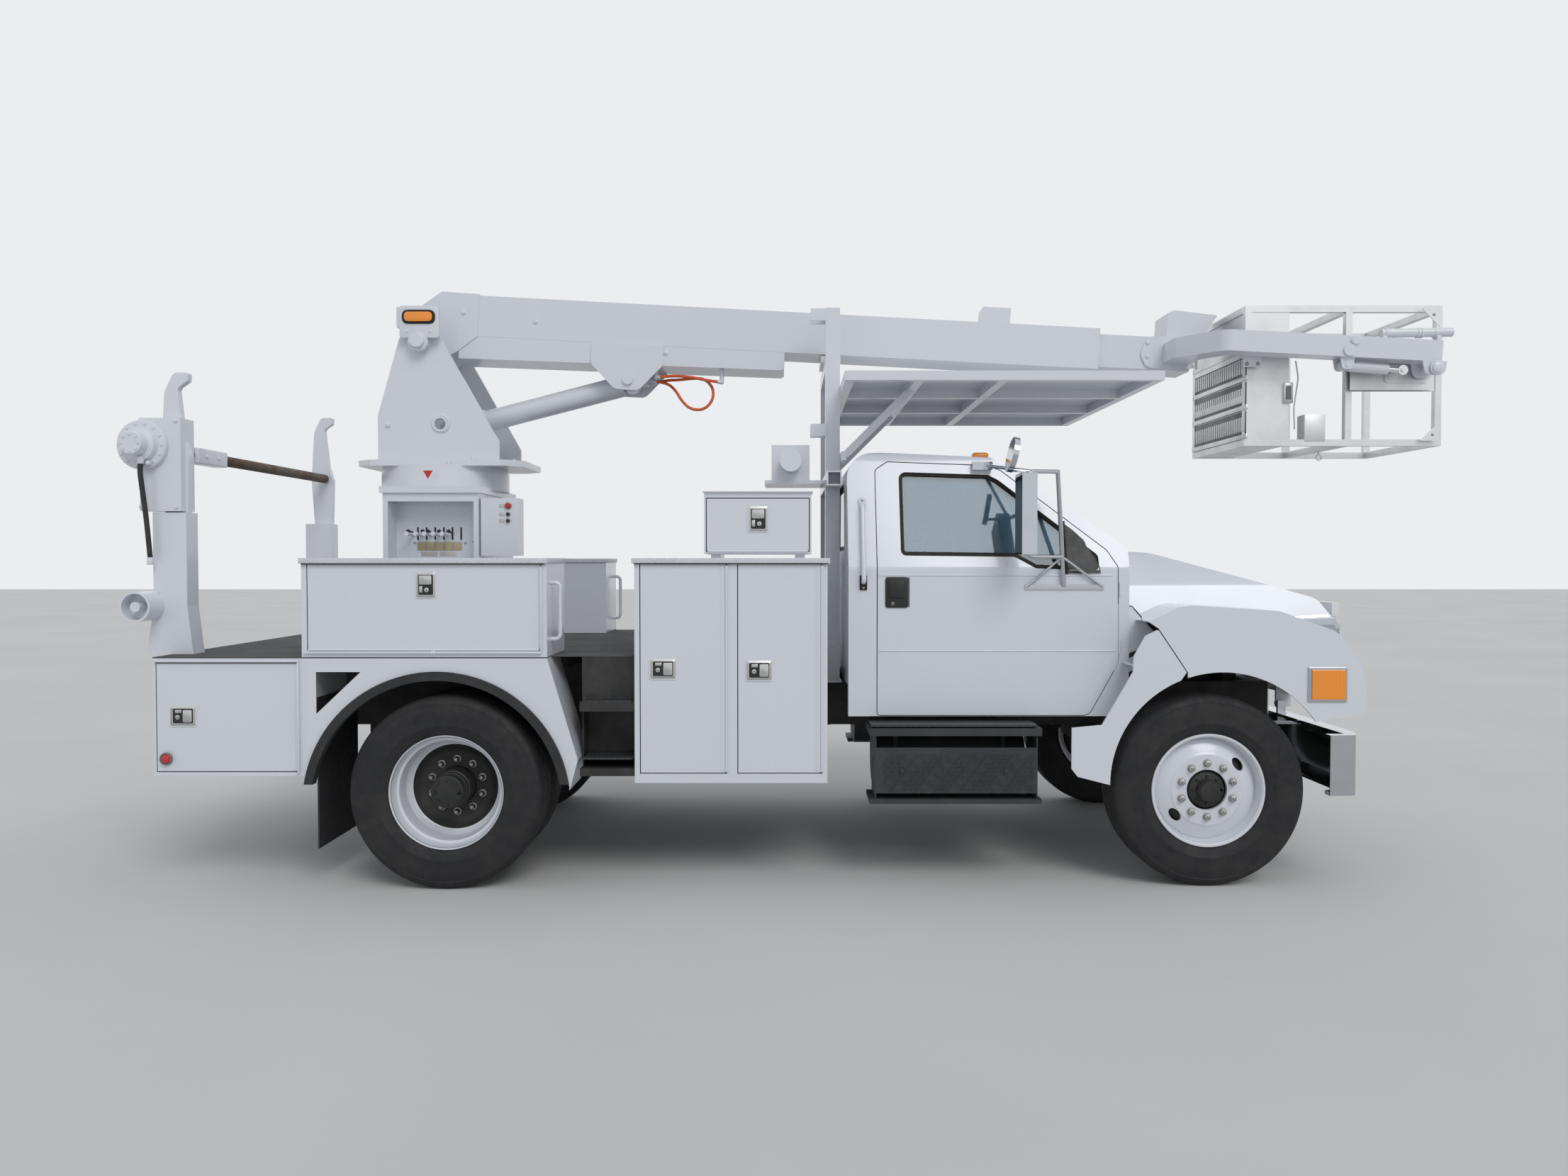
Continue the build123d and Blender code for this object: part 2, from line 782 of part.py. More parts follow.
# Doors of the side boxes as (rear edge, front edge), (bottom, top), hinged edge, latch station, latch height
side_doors = {
    "rear_bin_door": ((-1500, -770), (630, 1195), "front", -1363, 920),
    "wheel_bin_door": ((-707, 505), (1269, 1712), "bottom", -90, 1605),
    "cabinet_rear_door": ((1028, 1474), (622, 1712), "front", 1145, 1167),
    "cabinet_front_door": ((1538, 1972), (622, 1712), "front", 1647, 1159),
}


def placed(pair):
    # stations forward of the rear axle, as x
    return (rear_axle + pair[0], rear_axle + pair[1])


# Side bodies: rear bin, arch panel, wheel bin on the deck and the stepped way up to the deck
for hand, side in hands:
    with BuildPart() as side_body:
        rear_bin = placed((-body_rear, -rear_bin_front))
        bin_shell(rear_bin, side, (rear_bin_bottom, deck_low - seat_gap))
        for name in ("rear_bin_door", "wheel_bin_door"):
            xs, zs, hinge = side_doors[name][:3]
            hinge_strip(placed(xs), zs, side, hinge, body_half)
        door_hole(placed(side_doors["rear_bin_door"][0]), side, side_doors["rear_bin_door"][1])
        panel = [
            (rear_axle - rear_bin_front - sheet, deck_low - seat_gap),
            (rear_axle - rear_bin_front - sheet, rear_bin_bottom),
            (rear_axle + arch_foot, arch_centre_height + 80),
            (rear_axle + arch_foot + 66, arch_centre_height + 80),
            (rear_axle + arch_foot + 108, 690),
            (rear_axle + wheel_bin_front, deck_low - seat_gap),
        ]
        side_plate(panel, (side * (body_half - sheet), side * body_half))
        arch_mid = (rear_axle + arch_centre, arch_centre_height)
        rod(
            (arch_mid[0], side * (body_half - 40), arch_mid[1]),
            (arch_mid[0], side * (body_half + 1), arch_mid[1]),
            arch_radius,
            mode=Mode.SUBTRACT,
        )
        side_plate(
            [
                (rear_axle - rear_bin_front + 22, 1150),
                (rear_axle - rear_bin_front + 255, 1150),
                (rear_axle - rear_bin_front + 22, 930),
            ],
            (side * (body_half - 20), side * (body_half + 1)),
            Mode.SUBTRACT,
        )
        side_plate(
            [
                (rear_axle + arch_foot + 66, arch_centre_height + 80),
                (rear_axle + arch_foot + 108, 690),
                (rear_axle + wheel_bin_front, deck_low - seat_gap),
                (rear_axle + wheel_bin_front - sheet, deck_low - seat_gap),
                (rear_axle + arch_foot + 108 - sheet, 690),
                (rear_axle + arch_foot + 66 - sheet, arch_centre_height + 80),
            ],
            (side * (body_half - 320), side * body_half),
        )
        wheel_bin = placed((-wheel_bin_rear, wheel_bin_front))
        bin_shell(wheel_bin, side, (deck_top + seat_gap, wheel_bin_top))
        door_hole(placed(side_doors["wheel_bin_door"][0]), side, side_doors["wheel_bin_door"][1])
        slab(
            (wheel_bin[0] - 6, wheel_bin[1] + 6),
            (side * (body_half - bin_depth - 6), side * (body_half + 6)),
            (wheel_bin_top, wheel_bin_top + 5),
        )
        handle_y = side * (body_half - 110)
        handle_x = wheel_bin[1]
        bent_tube(
            [
                (handle_x - 2, handle_y, 1616),
                (handle_x + 48, handle_y, 1616),
                (handle_x + 48, handle_y, 1316),
                (handle_x - 2, handle_y, 1316),
            ],
            28,
            11,
        )
    side_body.part.label = f"side_body_{hand}"
    export_step(side_body.part, f"parts/side_body_{hand}.step")

# Rubber: flares round the rear arches and the mud flaps behind the rear wheels
with BuildPart() as arch_rubbers:
    for hand, side in hands:
        with BuildSketch(Plane.XZ.offset(-side * (body_half + 16) if side > 0 else body_half + 16)) as ring:
            with Locations((rear_axle + arch_centre, arch_centre_height)):
                Circle(arch_radius)
                Circle(arch_radius - flare_width, mode=Mode.SUBTRACT)
            with Locations((rear_axle + arch_centre, arch_centre_height - arch_radius + 110)):
                Rectangle(2 * arch_radius + 2, 2 * arch_radius, mode=Mode.SUBTRACT)
        extrude(ring.sketch, amount=side * (flare_height + 16))
        flap_x = rear_axle - rear_bin_front + seat_gap
        slab((flap_x, flap_x + 9), (side * 610, side * 1160), (208, 1010))
arch_rubbers.part.label = "arch_rubbers"
export_step(arch_rubbers.part, "parts/arch_rubbers.step")

# Way up to the deck between the arch and the cabinet: two grip treads with dark risers
with BuildPart() as body_steps:
    for hand, side in hands:
        step_xs = (rear_axle + 705, rear_axle + cabinet_rear - seat_gap)
        slab(
            step_xs,
            (side * (body_half - step_inset), side * (body_half - step_inset - sheet)),
            (990, deck_low - seat_gap),
        )
        slab(step_xs, (side * 850, side * 1200), (940, 990))
        slab(step_xs, (side * 960, side * 966), (640, 940))
        slab(step_xs, (side * 850, side * 1200), (600, 640))
        slab((step_xs[0], step_xs[0] + 5), (side * 850, side * 1112), (600, deck_low - seat_gap))
body_steps.part.label = "body_steps"
export_step(body_steps.part, "parts/body_steps.step")

# Tall cabinets: two doorways, a divider and a shelf, and the right one carries the top bin
top_bin_xs = placed((1356, 1922))
top_bin_outer = 1150.0
top_bin_depth = 430.0
top_bin_zs = (wheel_bin_top + 31, wheel_bin_top + 357)
top_bin_door_xs = (top_bin_xs[0] + 14, top_bin_xs[1] - 14)
top_bin_door_zs = (top_bin_zs[0] + 18, top_bin_zs[1] - 34)
for hand, side in hands:
    with BuildPart() as tall_cabinet:
        cabinet = placed((cabinet_rear, cabinet_front))
        bin_shell(cabinet, side, (cabinet_bottom, cabinet_top))
        slab(
            (rear_axle + 1506 - 2, rear_axle + 1506 + 2),
            (side * (body_half - bin_depth), side * body_half),
            (cabinet_bottom, cabinet_top),
        )
        slab(cabinet, (side * (body_half - bin_depth), side * (body_half - 60)), (1150, 1154))
        for name in ("cabinet_rear_door", "cabinet_front_door"):
            xs, zs, hinge = side_doors[name][:3]
            door_hole(placed(xs), side, zs)
            hinge_strip(placed(xs), zs, side, hinge, body_half)
        slab(
            (cabinet[0] - 6, cabinet[1] + 6),
            (side * (body_half - bin_depth - 6), side * (body_half + 6)),
            (cabinet_top, cabinet_top + 5),
        )
        if hand == "right":
            bin_shell(top_bin_xs, side, top_bin_zs, top_bin_depth, top_bin_outer)
            door_hole(top_bin_door_xs, side, top_bin_door_zs, top_bin_outer)
            hinge_strip(top_bin_door_xs, top_bin_door_zs, side, "bottom", top_bin_outer)
            slab(
                (top_bin_xs[0] - 8, top_bin_xs[1] + 8),
                (side * (top_bin_outer - top_bin_depth), side * (top_bin_outer + 16)),
                (top_bin_zs[1], top_bin_zs[1] + 5),
            )
            for x in (top_bin_xs[0] + 60, top_bin_xs[1] - 60):
                slab(
                    (x - 25, x + 25),
                    (side * (top_bin_outer - top_bin_depth + 20), side * (top_bin_outer - 20)),
                    (cabinet_top + 5, top_bin_zs[0]),
                )
    tall_cabinet.part.label = f"tall_cabinet_{hand}"
    export_step(tall_cabinet.part, f"parts/tall_cabinet_{hand}.step")


def hinged_door(xs, zs, side, hinge, latch, outer):
    # a flat panel with its hinge knuckle just outside its hinged edge, and a flush latch
    slab(xs, (side * (outer - door_thickness), side * outer), zs)
    axis_y = side * (outer + hinge_stand)
    leaf = (side * outer, side * (outer + 2.5))
    if hinge == "front":
        axis_x = xs[1] + door_gap / 2
        rod((axis_x, axis_y, zs[0] + 6), (axis_x, axis_y, zs[1] - 6), hinge_radius)
        slab((xs[1] - 26, axis_x), leaf, (zs[0] + 6, zs[1] - 6))
    else:
        axis_z = zs[0] - door_gap / 2
        rod((xs[0] + 6, axis_y, axis_z), (xs[1] - 6, axis_y, axis_z), hinge_radius)
        slab((xs[0] + 6, xs[1] - 6), leaf, (axis_z, zs[0] + 26))
    wide, tall = (latch_width, latch_length) if hinge == "bottom" else (latch_length, latch_width)
    x, z = latch
    with BuildSketch(Plane.XZ.offset(-side * outer)) as plate:
        with Locations((x, z)):
            RectangleRounded(wide, tall, 12)
    extrude(plate.sketch, amount=-side * latch_thickness)
    slab(
        (x - wide / 2 + 16, x + wide / 2 - 16),
        (side * (outer - 14), side * (outer + latch_thickness + 1)),
        (z - tall / 2 + 16, z + tall / 2 - 16),
        Mode.SUBTRACT,
    )
    slab(
        (x - wide / 2 + 16, x + wide / 2 - 16),
        (side * (outer - 16), side * (outer + 1)),
        (z - 4, z + tall / 2 - 22),
    )


for name, (xs, zs, hinge, latch_x, latch_z) in side_doors.items():
    for hand, side in hands:
        with BuildPart() as bin_door:
            hinged_door(placed(xs), zs, side, hinge, (rear_axle + latch_x, latch_z), body_half)
        bin_door.part.label = f"{name}_{hand}"
        export_step(bin_door.part, f"parts/{name}_{hand}.step")
with BuildPart() as top_bin_door:
    latch_spot = (rear_axle + 1641, 1951)
    hinged_door(top_bin_door_xs, top_bin_door_zs, -1, "bottom", latch_spot, top_bin_outer)
top_bin_door.part.label = "top_bin_door"
export_step(top_bin_door.part, "parts/top_bin_door.step")

# Cab body: one shell from the side view and the view from behind, split at the doors
cab_front = cab_back + cab_length
cab_side_view = [
    (cab_back, cab_bottom),
    (cab_back, cab_roof_rear - 6),
    (cab_back + 190, cab_roof_rear),
    (cab_back + 790, cab_roof_front),
    (cab_back + 905, cab_roof_front - 60),
    (cab_front, cowl_height),
    (cab_front, cab_bottom),
]
cab_cross_view = [
    (-cab_half, cab_bottom),
    (-cab_half, cab_belt),
    (-cab_roof_half, cab_roof_rear + 2),
    (cab_roof_half, cab_roof_rear + 2),
    (cab_half, cab_belt),
    (cab_half, cab_bottom),
]
with BuildPart() as cab_body:
    side_plate(cab_side_view, (-cab_half, cab_half), radius=[0, 150, 200, 60, 40, 30, 0])
    cross_plate(cab_cross_view, (cab_back - 1, cab_front + 1), Mode.INTERSECT, radius=[0, 60, 90, 90, 60, 0])
firewall_lean = 30.0
cowl_inside = cowl_height - cab_wall + 16
with BuildPart() as cab_room:
    room_side = [
        (cab_back + cab_wall, cab_floor),
        (cab_back + cab_wall, cab_roof_rear - cab_wall),
        (cab_back + 200, cab_roof_rear - cab_wall - 4),
        (cab_back + 780, cab_roof_front - cab_wall),
        (cab_front - cab_wall - firewall_lean, cowl_inside),
        (cab_front - cab_wall, cab_floor),
    ]
    room_cross = [
        (-cab_half + cab_wall, cab_floor),
        (-cab_half + cab_wall, cab_belt - 8),
        (-cab_roof_half + cab_wall - 2, cab_roof_rear - cab_wall + 2),
        (cab_roof_half - cab_wall + 2, cab_roof_rear - cab_wall + 2),
        (cab_half - cab_wall, cab_belt - 8),
        (cab_half - cab_wall, cab_floor),
    ]
    side_plate(room_side, (-cab_half, cab_half), radius=[0, 110, 160, 40, 20, 0])
    cross_plate(room_cross, (cab_back, cab_front), Mode.INTERSECT, radius=[0, 40, 60, 60, 40, 0])
door_outline = [
    (cab_back + door_rear, cab_bottom + 2),
    (cab_back + door_rear, 2236),
    (cab_back + door_rear + 70, 2282),
    (cab_back + 770, 2262),
    (cab_back + 850, 2234),
    (cab_back + door_front - 60, 1790),
    (cab_back + door_front - 6, 1700),
    (cab_back + door_front, 1180),
    (cab_back + door_front - 160, cab_bottom + 2),
]
door_corner_radii = [20, 40, 30, 60, 60, 60, 40, 80, 60]
window_outline = [
    (cab_back + 285, 1759),
    (cab_back + 285, 2222),
    (cab_back + 780, 2206),
    (cab_back + 835, 2176),
    (cab_back + door_front - 110, 1760),
    (cab_back + door_front - 110, 1676),
    (cab_back + 1010, 1690),
    (cab_back + 900, 1752),
]
window_radii = [30, 40, 40, 40, 40, 30, 40, 60]
cab_lean = (cab_half - cab_roof_half) / (cab_roof_rear + 2 - cab_belt)
rear_window = [(-560, 1790), (-520, 2180), (520, 2180), (560, 1790)]
screen_low = (cab_front - 40, cowl_height + 24)
screen_high = (cab_back + 935, cab_roof_front - 84)
screen_slope = (screen_high[0] - screen_low[0], screen_high[1] - screen_low[1])
screen_length = sqrt(screen_slope[0] ** 2 + screen_slope[1] ** 2)


def screen_plane():
    # the windscreen's own plane, x across the truck and y up the glass
    middle = ((screen_low[0] + screen_high[0]) / 2, 0, (screen_low[1] + screen_high[1]) / 2)
    up = Vector(screen_slope[0], 0, screen_slope[1])
    return Plane(origin=middle, x_dir=(0, -1, 0), z_dir=Vector(0, -1, 0).cross(up))


def door_band(side, depth):
    # the view from behind of what lies within depth of one side of the cab
    belt_in = cab_half - depth
    top = cab_roof_rear + 20
    band = [
        (cab_half + 2, cab_bottom - 10),
        (cab_half + 2, top),
        (belt_in - cab_lean * (top - cab_belt), top),
        (belt_in, cab_belt),
        (belt_in, cab_bottom - 10),
    ]
    return [(side * y, z) for y, z in band]


doorways = []
for hand, side in hands:
    with BuildPart() as doorway:
        side_plate(door_outline, (side * (cab_half + 1), side * 500), radius=door_corner_radii)
        cross_plate(door_band(side, cab_wall + 4), (cab_back, cab_front), Mode.INTERSECT)
    doorways.append(doorway.part)
with BuildPart() as cab_shell:
    add(cab_body.part)
    add(cab_room.part, mode=Mode.SUBTRACT)
    slab(
        (cab_back - 1, cab_front + 1),
        (-cab_half + 90, cab_half - 90),
        (cab_bottom - 1, cab_floor - floor_plate),
        Mode.SUBTRACT,
    )
    slab(
        (cab_back + 120, cab_front - 60),
        (-cab_half + 60, -cab_half - 5),
        (cab_bottom - 1, cab_bottom + 1),
        Mode.SUBTRACT,
    )
    for doorway_part in doorways:
        add(doorway_part, mode=Mode.SUBTRACT)
    cross_plate(rear_window, (cab_back - 1, cab_back + cab_wall + 1), Mode.SUBTRACT, radius=50)
    with BuildSketch(screen_plane()) as screen_hole:
        Trapezoid(1640, screen_length - 60, 80)
    extrude(screen_hole.sketch, amount=120, both=True, mode=Mode.SUBTRACT)
    skirt_view = [
        (cab_back + 1158, 857),
        (cab_back + 1158, 641),
        (cab_back + 1190, 600),
        (cab_back + 1361, 556),
        (cab_back + 1756, 1148),
        (cab_back + 1605, 1372),
        (cab_back + 1540, 1340),
        (cab_back + 1480, 1232),
        (cab_back + 1476, 1150),
        (cab_back + 1316, 872),
    ]
    for hand, side in hands:
        side_plate(
            skirt_view,
            (side * (fender_half - hood_wall), side * fender_half),
            radius=[0, 10, 10, 10, 0, 12, 0, 0, 0, 0],
        )
        slab(
            (cab_back + 1476, cab_front + 4),
            (side * (cab_half - 40), side * (fender_half - 2)),
            (1180, 1192),
        )
    for hand, side in hands:
        for low, high in ((1230, 1300), (1540, 1610)):
            slab(
                (cab_back + door_front - cab_door_gap + seat_gap, cab_back + door_front + 4),
                (side * (cab_half - 12), side * (cab_half - 2)),
                (low, high),
            )
            hinge_point = (cab_back + door_front + 2, side * (cab_half + 2))
            rod((*hinge_point, low), (*hinge_point, high), cab_hinge_radius)
        arch = (front_axle + front_arch_offset, front_arch_height)
        rod(
            (arch[0], side * 700, arch[1]),
            (arch[0], side * 1230, arch[1]),
            front_arch_radius,
            mode=Mode.SUBTRACT,
        )
cab_shell.part.label = "cab_shell"
export_step(cab_shell.part, "parts/cab_shell.step")

# Cab glass: windscreen and rear window
with BuildPart() as cab_glass:
    with BuildSketch(screen_plane()) as screen:
        Trapezoid(1640 - 2 * seat_gap, screen_length - 60 - 2 * seat_gap, 80)
    extrude(screen.sketch, amount=glass / 2, both=True)
    small_rear = [(-559, 1790.4), (-519.4, 2179.6), (519.4, 2179.6), (559, 1790.4)]
    cross_plate(small_rear, (cab_back + 18, cab_back + 18 + glass), radius=50)
cab_glass.part.label = "cab_glass"
export_step(cab_glass.part, "parts/cab_glass.step")

# Cab doors with their glass
for hand, side in hands:
    with BuildPart() as cab_door:
        add(cab_body.part)
        add(cab_room.part, mode=Mode.SUBTRACT)
        side_plate(
            door_outline,
            (side * (cab_half + 1), side * 500),
            Mode.INTERSECT,
            radius=door_corner_radii,
            inset=cab_door_gap,
        )
        cross_plate(door_band(side, cab_wall), (cab_back, cab_front), Mode.INTERSECT)
        side_plate(window_outline, (side * (cab_half + 1), side * 600), Mode.SUBTRACT, radius=window_radii)
        handle_mid = cab_back + door_rear + 113
        slab(
            (handle_mid - 65, handle_mid + 65),
            (side * (cab_half - 22), side * (cab_half + 1)),
            (1480, 1640),
            Mode.SUBTRACT,
        )
        slab(
            (handle_mid - 40, handle_mid + 40),
            (side * (cab_half - 24), side * (cab_half - 4)),
            (1500, 1600),
        )
    cab_door.part.label = f"door_{hand}"
    export_step(cab_door.part, f"parts/door_{hand}.step")
    with BuildPart() as door_glass:
        add(cab_body.part)
        slab(
            (cab_back, cab_front),
            (side * (cab_half - 22), side * (cab_half - 22 - 400)),
            (cab_belt - 60, cab_roof_rear),
            Mode.INTERSECT,
        )
        pane = [
            (cab_half - 20, cab_belt - 30),
            (cab_half - 20, cab_belt),
            (cab_half - 20 - cab_lean * 620, cab_belt + 620),
            (cab_half - 20 - glass - cab_lean * 620, cab_belt + 620),
            (cab_half - 20 - glass, cab_belt),
            (cab_half - 20 - glass, cab_belt - 30),
        ]
        cross_plate([(side * y, z) for y, z in pane], (cab_back, cab_front), Mode.INTERSECT)
        side_plate(
            window_outline,
            (side * (cab_half + 1), side * 600),
            Mode.INTERSECT,
            radius=window_radii,
            inset=seat_gap,
        )
    door_glass.part.label = f"door_glass_{hand}"
    export_step(door_glass.part, f"parts/door_glass_{hand}.step")

# Mirrors: a tall head on a tube loop, a post with two braces, an upper strut and a round spot mirror
mirror_outer = 1310.0
mirror_width = 178.0
mirror_loop = 1215.0
for hand, side in hands:
    with BuildPart() as mirror:
        post_foot = Vector(cab_back + 1158, side * (cab_half + 14), 1590)
        post_top = Vector(cab_back + 1102, side * 1110, 2212)
        rod(post_foot, post_top, 12)
        post_low = post_foot + (post_top - post_foot) * 0.26
        bent_tube(
            [
                tuple(post_foot + (post_top - post_foot) * 0.985),
                (cab_back + 920, side * mirror_loop, 2196),
                (cab_back + 920, side * mirror_loop, 1752),
                tuple(post_low),
            ],
            40,
            11,
        )
        slab(
            (cab_back + 951, cab_back + 1376),
            (side * (cab_half + seat_gap), side * (cab_half + 9)),
            (1577, 1603),
        )
        for end in (cab_back + 958, cab_back + 1368):
            rod(post_low, (end, side * (cab_half + 8), 1590), 7)
        slab((cab_back + 690, cab_back + 800), (side * 836, side * 872), (2232, 2276))
        rod((cab_back + 957, side * 1194, 2197), (cab_back + 770, side * 860, 2254), 9)
        slab(
            (cab_back + 873, cab_back + 951),
            (side * (mirror_outer - mirror_width), side * mirror_outer),
            (1764, 2184),
        )
        spot = Vector(cab_back + 842, side * mirror_loop, 2282)
        rod(spot - Vector(14, 0, -3), spot + Vector(14, 0, -3), 92)
        rod(spot - Vector(16, 0, 78), (cab_back + 957, side * 1194, 2197), 9)
    mirror.part.label = f"mirror_{hand}"
    export_step(mirror.part, f"parts/mirror_{hand}.step")

# Cab interior: dashboard, steering column and wheel, two seats on plinths
dash_rear = cab_front - 330
dash_front = cab_front - cab_wall - 60
dash_low = 1330.0
dash_high = 1660.0
column_foot = Vector(cab_front - 320, 470, 1500)
column_head = Vector(cab_front - 500, 470, 1640)


def firewall_at(z):
    # the inner face of the cab's front wall, at a height
    return cab_front - cab_wall - firewall_lean * (z - cab_floor) / (cowl_inside - cab_floor)


with BuildPart(Plane(origin=column_head, z_dir=column_head - column_foot)) as steering_wheel:
    Torus(205, 15)
    Cylinder(15, 400, rotation=(90, 0, 0))
    Cylinder(50, 40)
with BuildPart() as cab_interior:
    slab((dash_rear, dash_front), (-cab_half + 110, cab_half - 110), (dash_low, dash_high))
    for hand, side in hands:
        side_plate(
            [
                (dash_front - 1, dash_low + 40),
                (dash_front - 1, dash_high - 60),
                (firewall_at(dash_high - 60) - seat_gap, dash_high - 60),
                (firewall_at(dash_low + 40) - seat_gap, dash_low + 40),
            ],
            (side * 600, side * 640),
        )
    for hand, side in hands:
        slab((cab_back + 330, cab_back + 820), (side * 180, side * 760), (cab_floor + seat_gap, 1300))
        slab((cab_back + 300, cab_back + 860), (side * 150, side * 790), (1300, 1440))
        side_plate(
            [
                (cab_back + 250, 1380),
                (cab_back + 150, 2000),
                (cab_back + 260, 2030),
                (cab_back + 400, 1400),
            ],
            (side * 170, side * 770),
            radius=20,
        )
    rod(column_foot, column_head, 32)
    add(steering_wheel.part)
cab_interior.part.label = "cab_interior"
export_step(cab_interior.part, "parts/cab_interior.step")

# Hood: top, fenders and wheel arches in one moulding, open behind and below, tilting forward
hood_top_view = [
    (cab_front + 6, 1487),
    (cab_front + 6, cowl_height - 8),
    (front_axle - 163, 1776),
    (front_axle + 692, 1522),
    (front_axle + 790, 1380),
    (front_axle + hood_nose, 1199),
    (front_axle + hood_nose - 12, 930),
    (front_axle + 300, 930),
]
hood_cross = [
    (-hood_half, 900),
    (-hood_half, 1400),
    (-hood_half + 70, 1600),
    (-hood_half + 300, 1800),
    (hood_half - 300, 1800),
    (hood_half - 70, 1600),
    (hood_half, 1400),
    (hood_half, 900),
]
fender_view = [
    (cab_front + 6, 1180),
    (cab_front + 6, 1400),
    (front_axle - 160, 1500),
    (front_axle + 330, 1470),
    (front_axle + 640, 1360),
    (front_axle + 770, 1180),
    (front_axle + hood_nose - 14, 1000),
    (front_axle + hood_nose - 30, 930),
    (front_axle + 520, 886),
    (front_axle, 886),
]
hood_side_edge = [
    (cab_front + 6, 2000),
    (cab_front + 6, 1480),
    (cab_front + 30, 1420),
    (cab_back + 1610, 1376),
    (cab_back + 1764, 1146),
    (cab_back + 1764, 500),
    (front_axle + 1000, 500),
    (front_axle + 1000, 2000),
]


def front_body(shrink):
    # hood and fenders as one closed form, drawn in by the wall to give its hollow
    side_plate(
        [(x + (shrink if x < front_axle - 400 else -shrink if x > front_axle + 700 else 0), z - shrink if z > 1000 else z)
         for x, z in hood_top_view],
        (-hood_half, hood_half),
        radius=[0, 0, 300, 90, 60, 40, 10, 0],
    )
    cross_plate(
        [(y - shrink if y > 0 else y + shrink, z - shrink if z > 1000 else z) for y, z in hood_cross],
        (cab_front, front_axle + hood_nose + 1),
        Mode.INTERSECT,
        radius=[0, 80, 90, 160, 160, 90, 80, 0],
    )


with BuildPart() as fenders:
    for hand, side in hands:
        side_plate(
            fender_view,
            (side * 780, side * fender_half),
            radius=[0, 60, 200, 200, 120, 60, 30, 20, 0, 0],
        )
with BuildPart() as fender_hollow:
    for hand, side in hands:
        side_plate(
            [(x, z - hood_wall) if z > 1000 else (x, z - 20) for x, z in fender_view[:5]]
            + [(x - hood_wall, z - 20) for x, z in fender_view[5:]],
            (side * 760, side * (fender_half - hood_wall)),
            radius=[0, 60, 190, 190, 110, 50, 20, 10, 0, 0],
        )
with BuildPart() as hood_body:
    front_body(0)
with BuildPart() as hood_hollow:
    front_body(hood_wall)
arch_middle = (front_axle + front_arch_offset, front_arch_height)
lamp_near = 560.0
lamp_far = 860.0
lamp_rows = ((1215.0, 1500.0), (985.0, 1170.0))
with BuildPart() as hood:
    add(hood_body.part)
    add(fenders.part)
    add(hood_hollow.part, mode=Mode.SUBTRACT)
    add(fender_hollow.part, mode=Mode.SUBTRACT)
    slab(
        (cab_front, front_axle + hood_nose - 40),
        (-hood_half + hood_wall, hood_half - hood_wall),
        (800, 1300),
        Mode.SUBTRACT,
    )
    side_plate(hood_side_edge, (-fender_half - 1, fender_half + 1), Mode.INTERSECT)
    for hand, side in hands:
        rod(
            (arch_middle[0], side * 600, arch_middle[1]),
            (arch_middle[0], side * (fender_half + 1), arch_middle[1]),
            front_arch_radius,
            mode=Mode.SUBTRACT,
        )
    slab(
        (front_axle + hood_nose - 60, front_axle + hood_nose + 1),
        (-470, 470),
        (980, 1470),
        Mode.SUBTRACT,
    )
    for hand, side in hands:
        for low, high in lamp_rows:
            slab(
                (front_axle + hood_nose - 40, front_axle + hood_nose + 20),
                (side * (lamp_near - seat_gap), side * (lamp_far + seat_gap)),
                (low - seat_gap, high + seat_gap),
                Mode.SUBTRACT,
            )
        slab(
            (front_axle + hood_hinge_x - 20, front_axle + hood_nose - 14),
            (side * 300, side * 320),
            (hood_hinge_height - 20, 978),
        )
        rod(
            (front_axle + hood_hinge_x, side * 290, hood_hinge_height),
            (front_axle + hood_hinge_x, side * 330, hood_hinge_height),
            20,
        )
        rod(
            (front_axle + hood_hinge_x, side * 289, hood_hinge_height),
            (front_axle + hood_hinge_x, side * 331, hood_hinge_height),
            hood_pin_radius + running_gap,
            mode=Mode.SUBTRACT,
        )
hood.part.label = "hood"
export_step(hood.part, "parts/hood.step")

# Grille: a bright surround with level bars
grille_front = front_axle + hood_nose + 4
with BuildPart() as grille:
    slab(
        (grille_front - 50, grille_front),
        (-470 + seat_gap, 470 - seat_gap),
        (980 + seat_gap, 1470 - seat_gap),
    )
    slab((grille_front - 51, grille_front + 1), (-420, 420), (1030, 1420), Mode.SUBTRACT)
    for row in range(4):
        z = 1030 + 390 * (row + 0.5) / 4
        slab((grille_front - 34, grille_front - 10), (-421, 421), (z - 22, z + 22))
    for column in range(3):
        y = -210 + 210 * column
        slab((grille_front - 40, grille_front - 16), (y - 12, y + 12), (1029, 1421))
grille.part.label = "grille"
export_step(grille.part, "parts/grille.step")

# Front lamps: headlamp and turn lamp on each corner
with BuildPart() as front_lamps:
    for hand, side in hands:
        for low, high in lamp_rows:
            slab(
                (front_axle + hood_nose - 34, front_axle + hood_nose + 6),
                (side * lamp_near, side * lamp_far),
                (low, high),
            )
front_lamps.part.label = "front_lamps"
export_step(front_lamps.part, "parts/front_lamps.step")

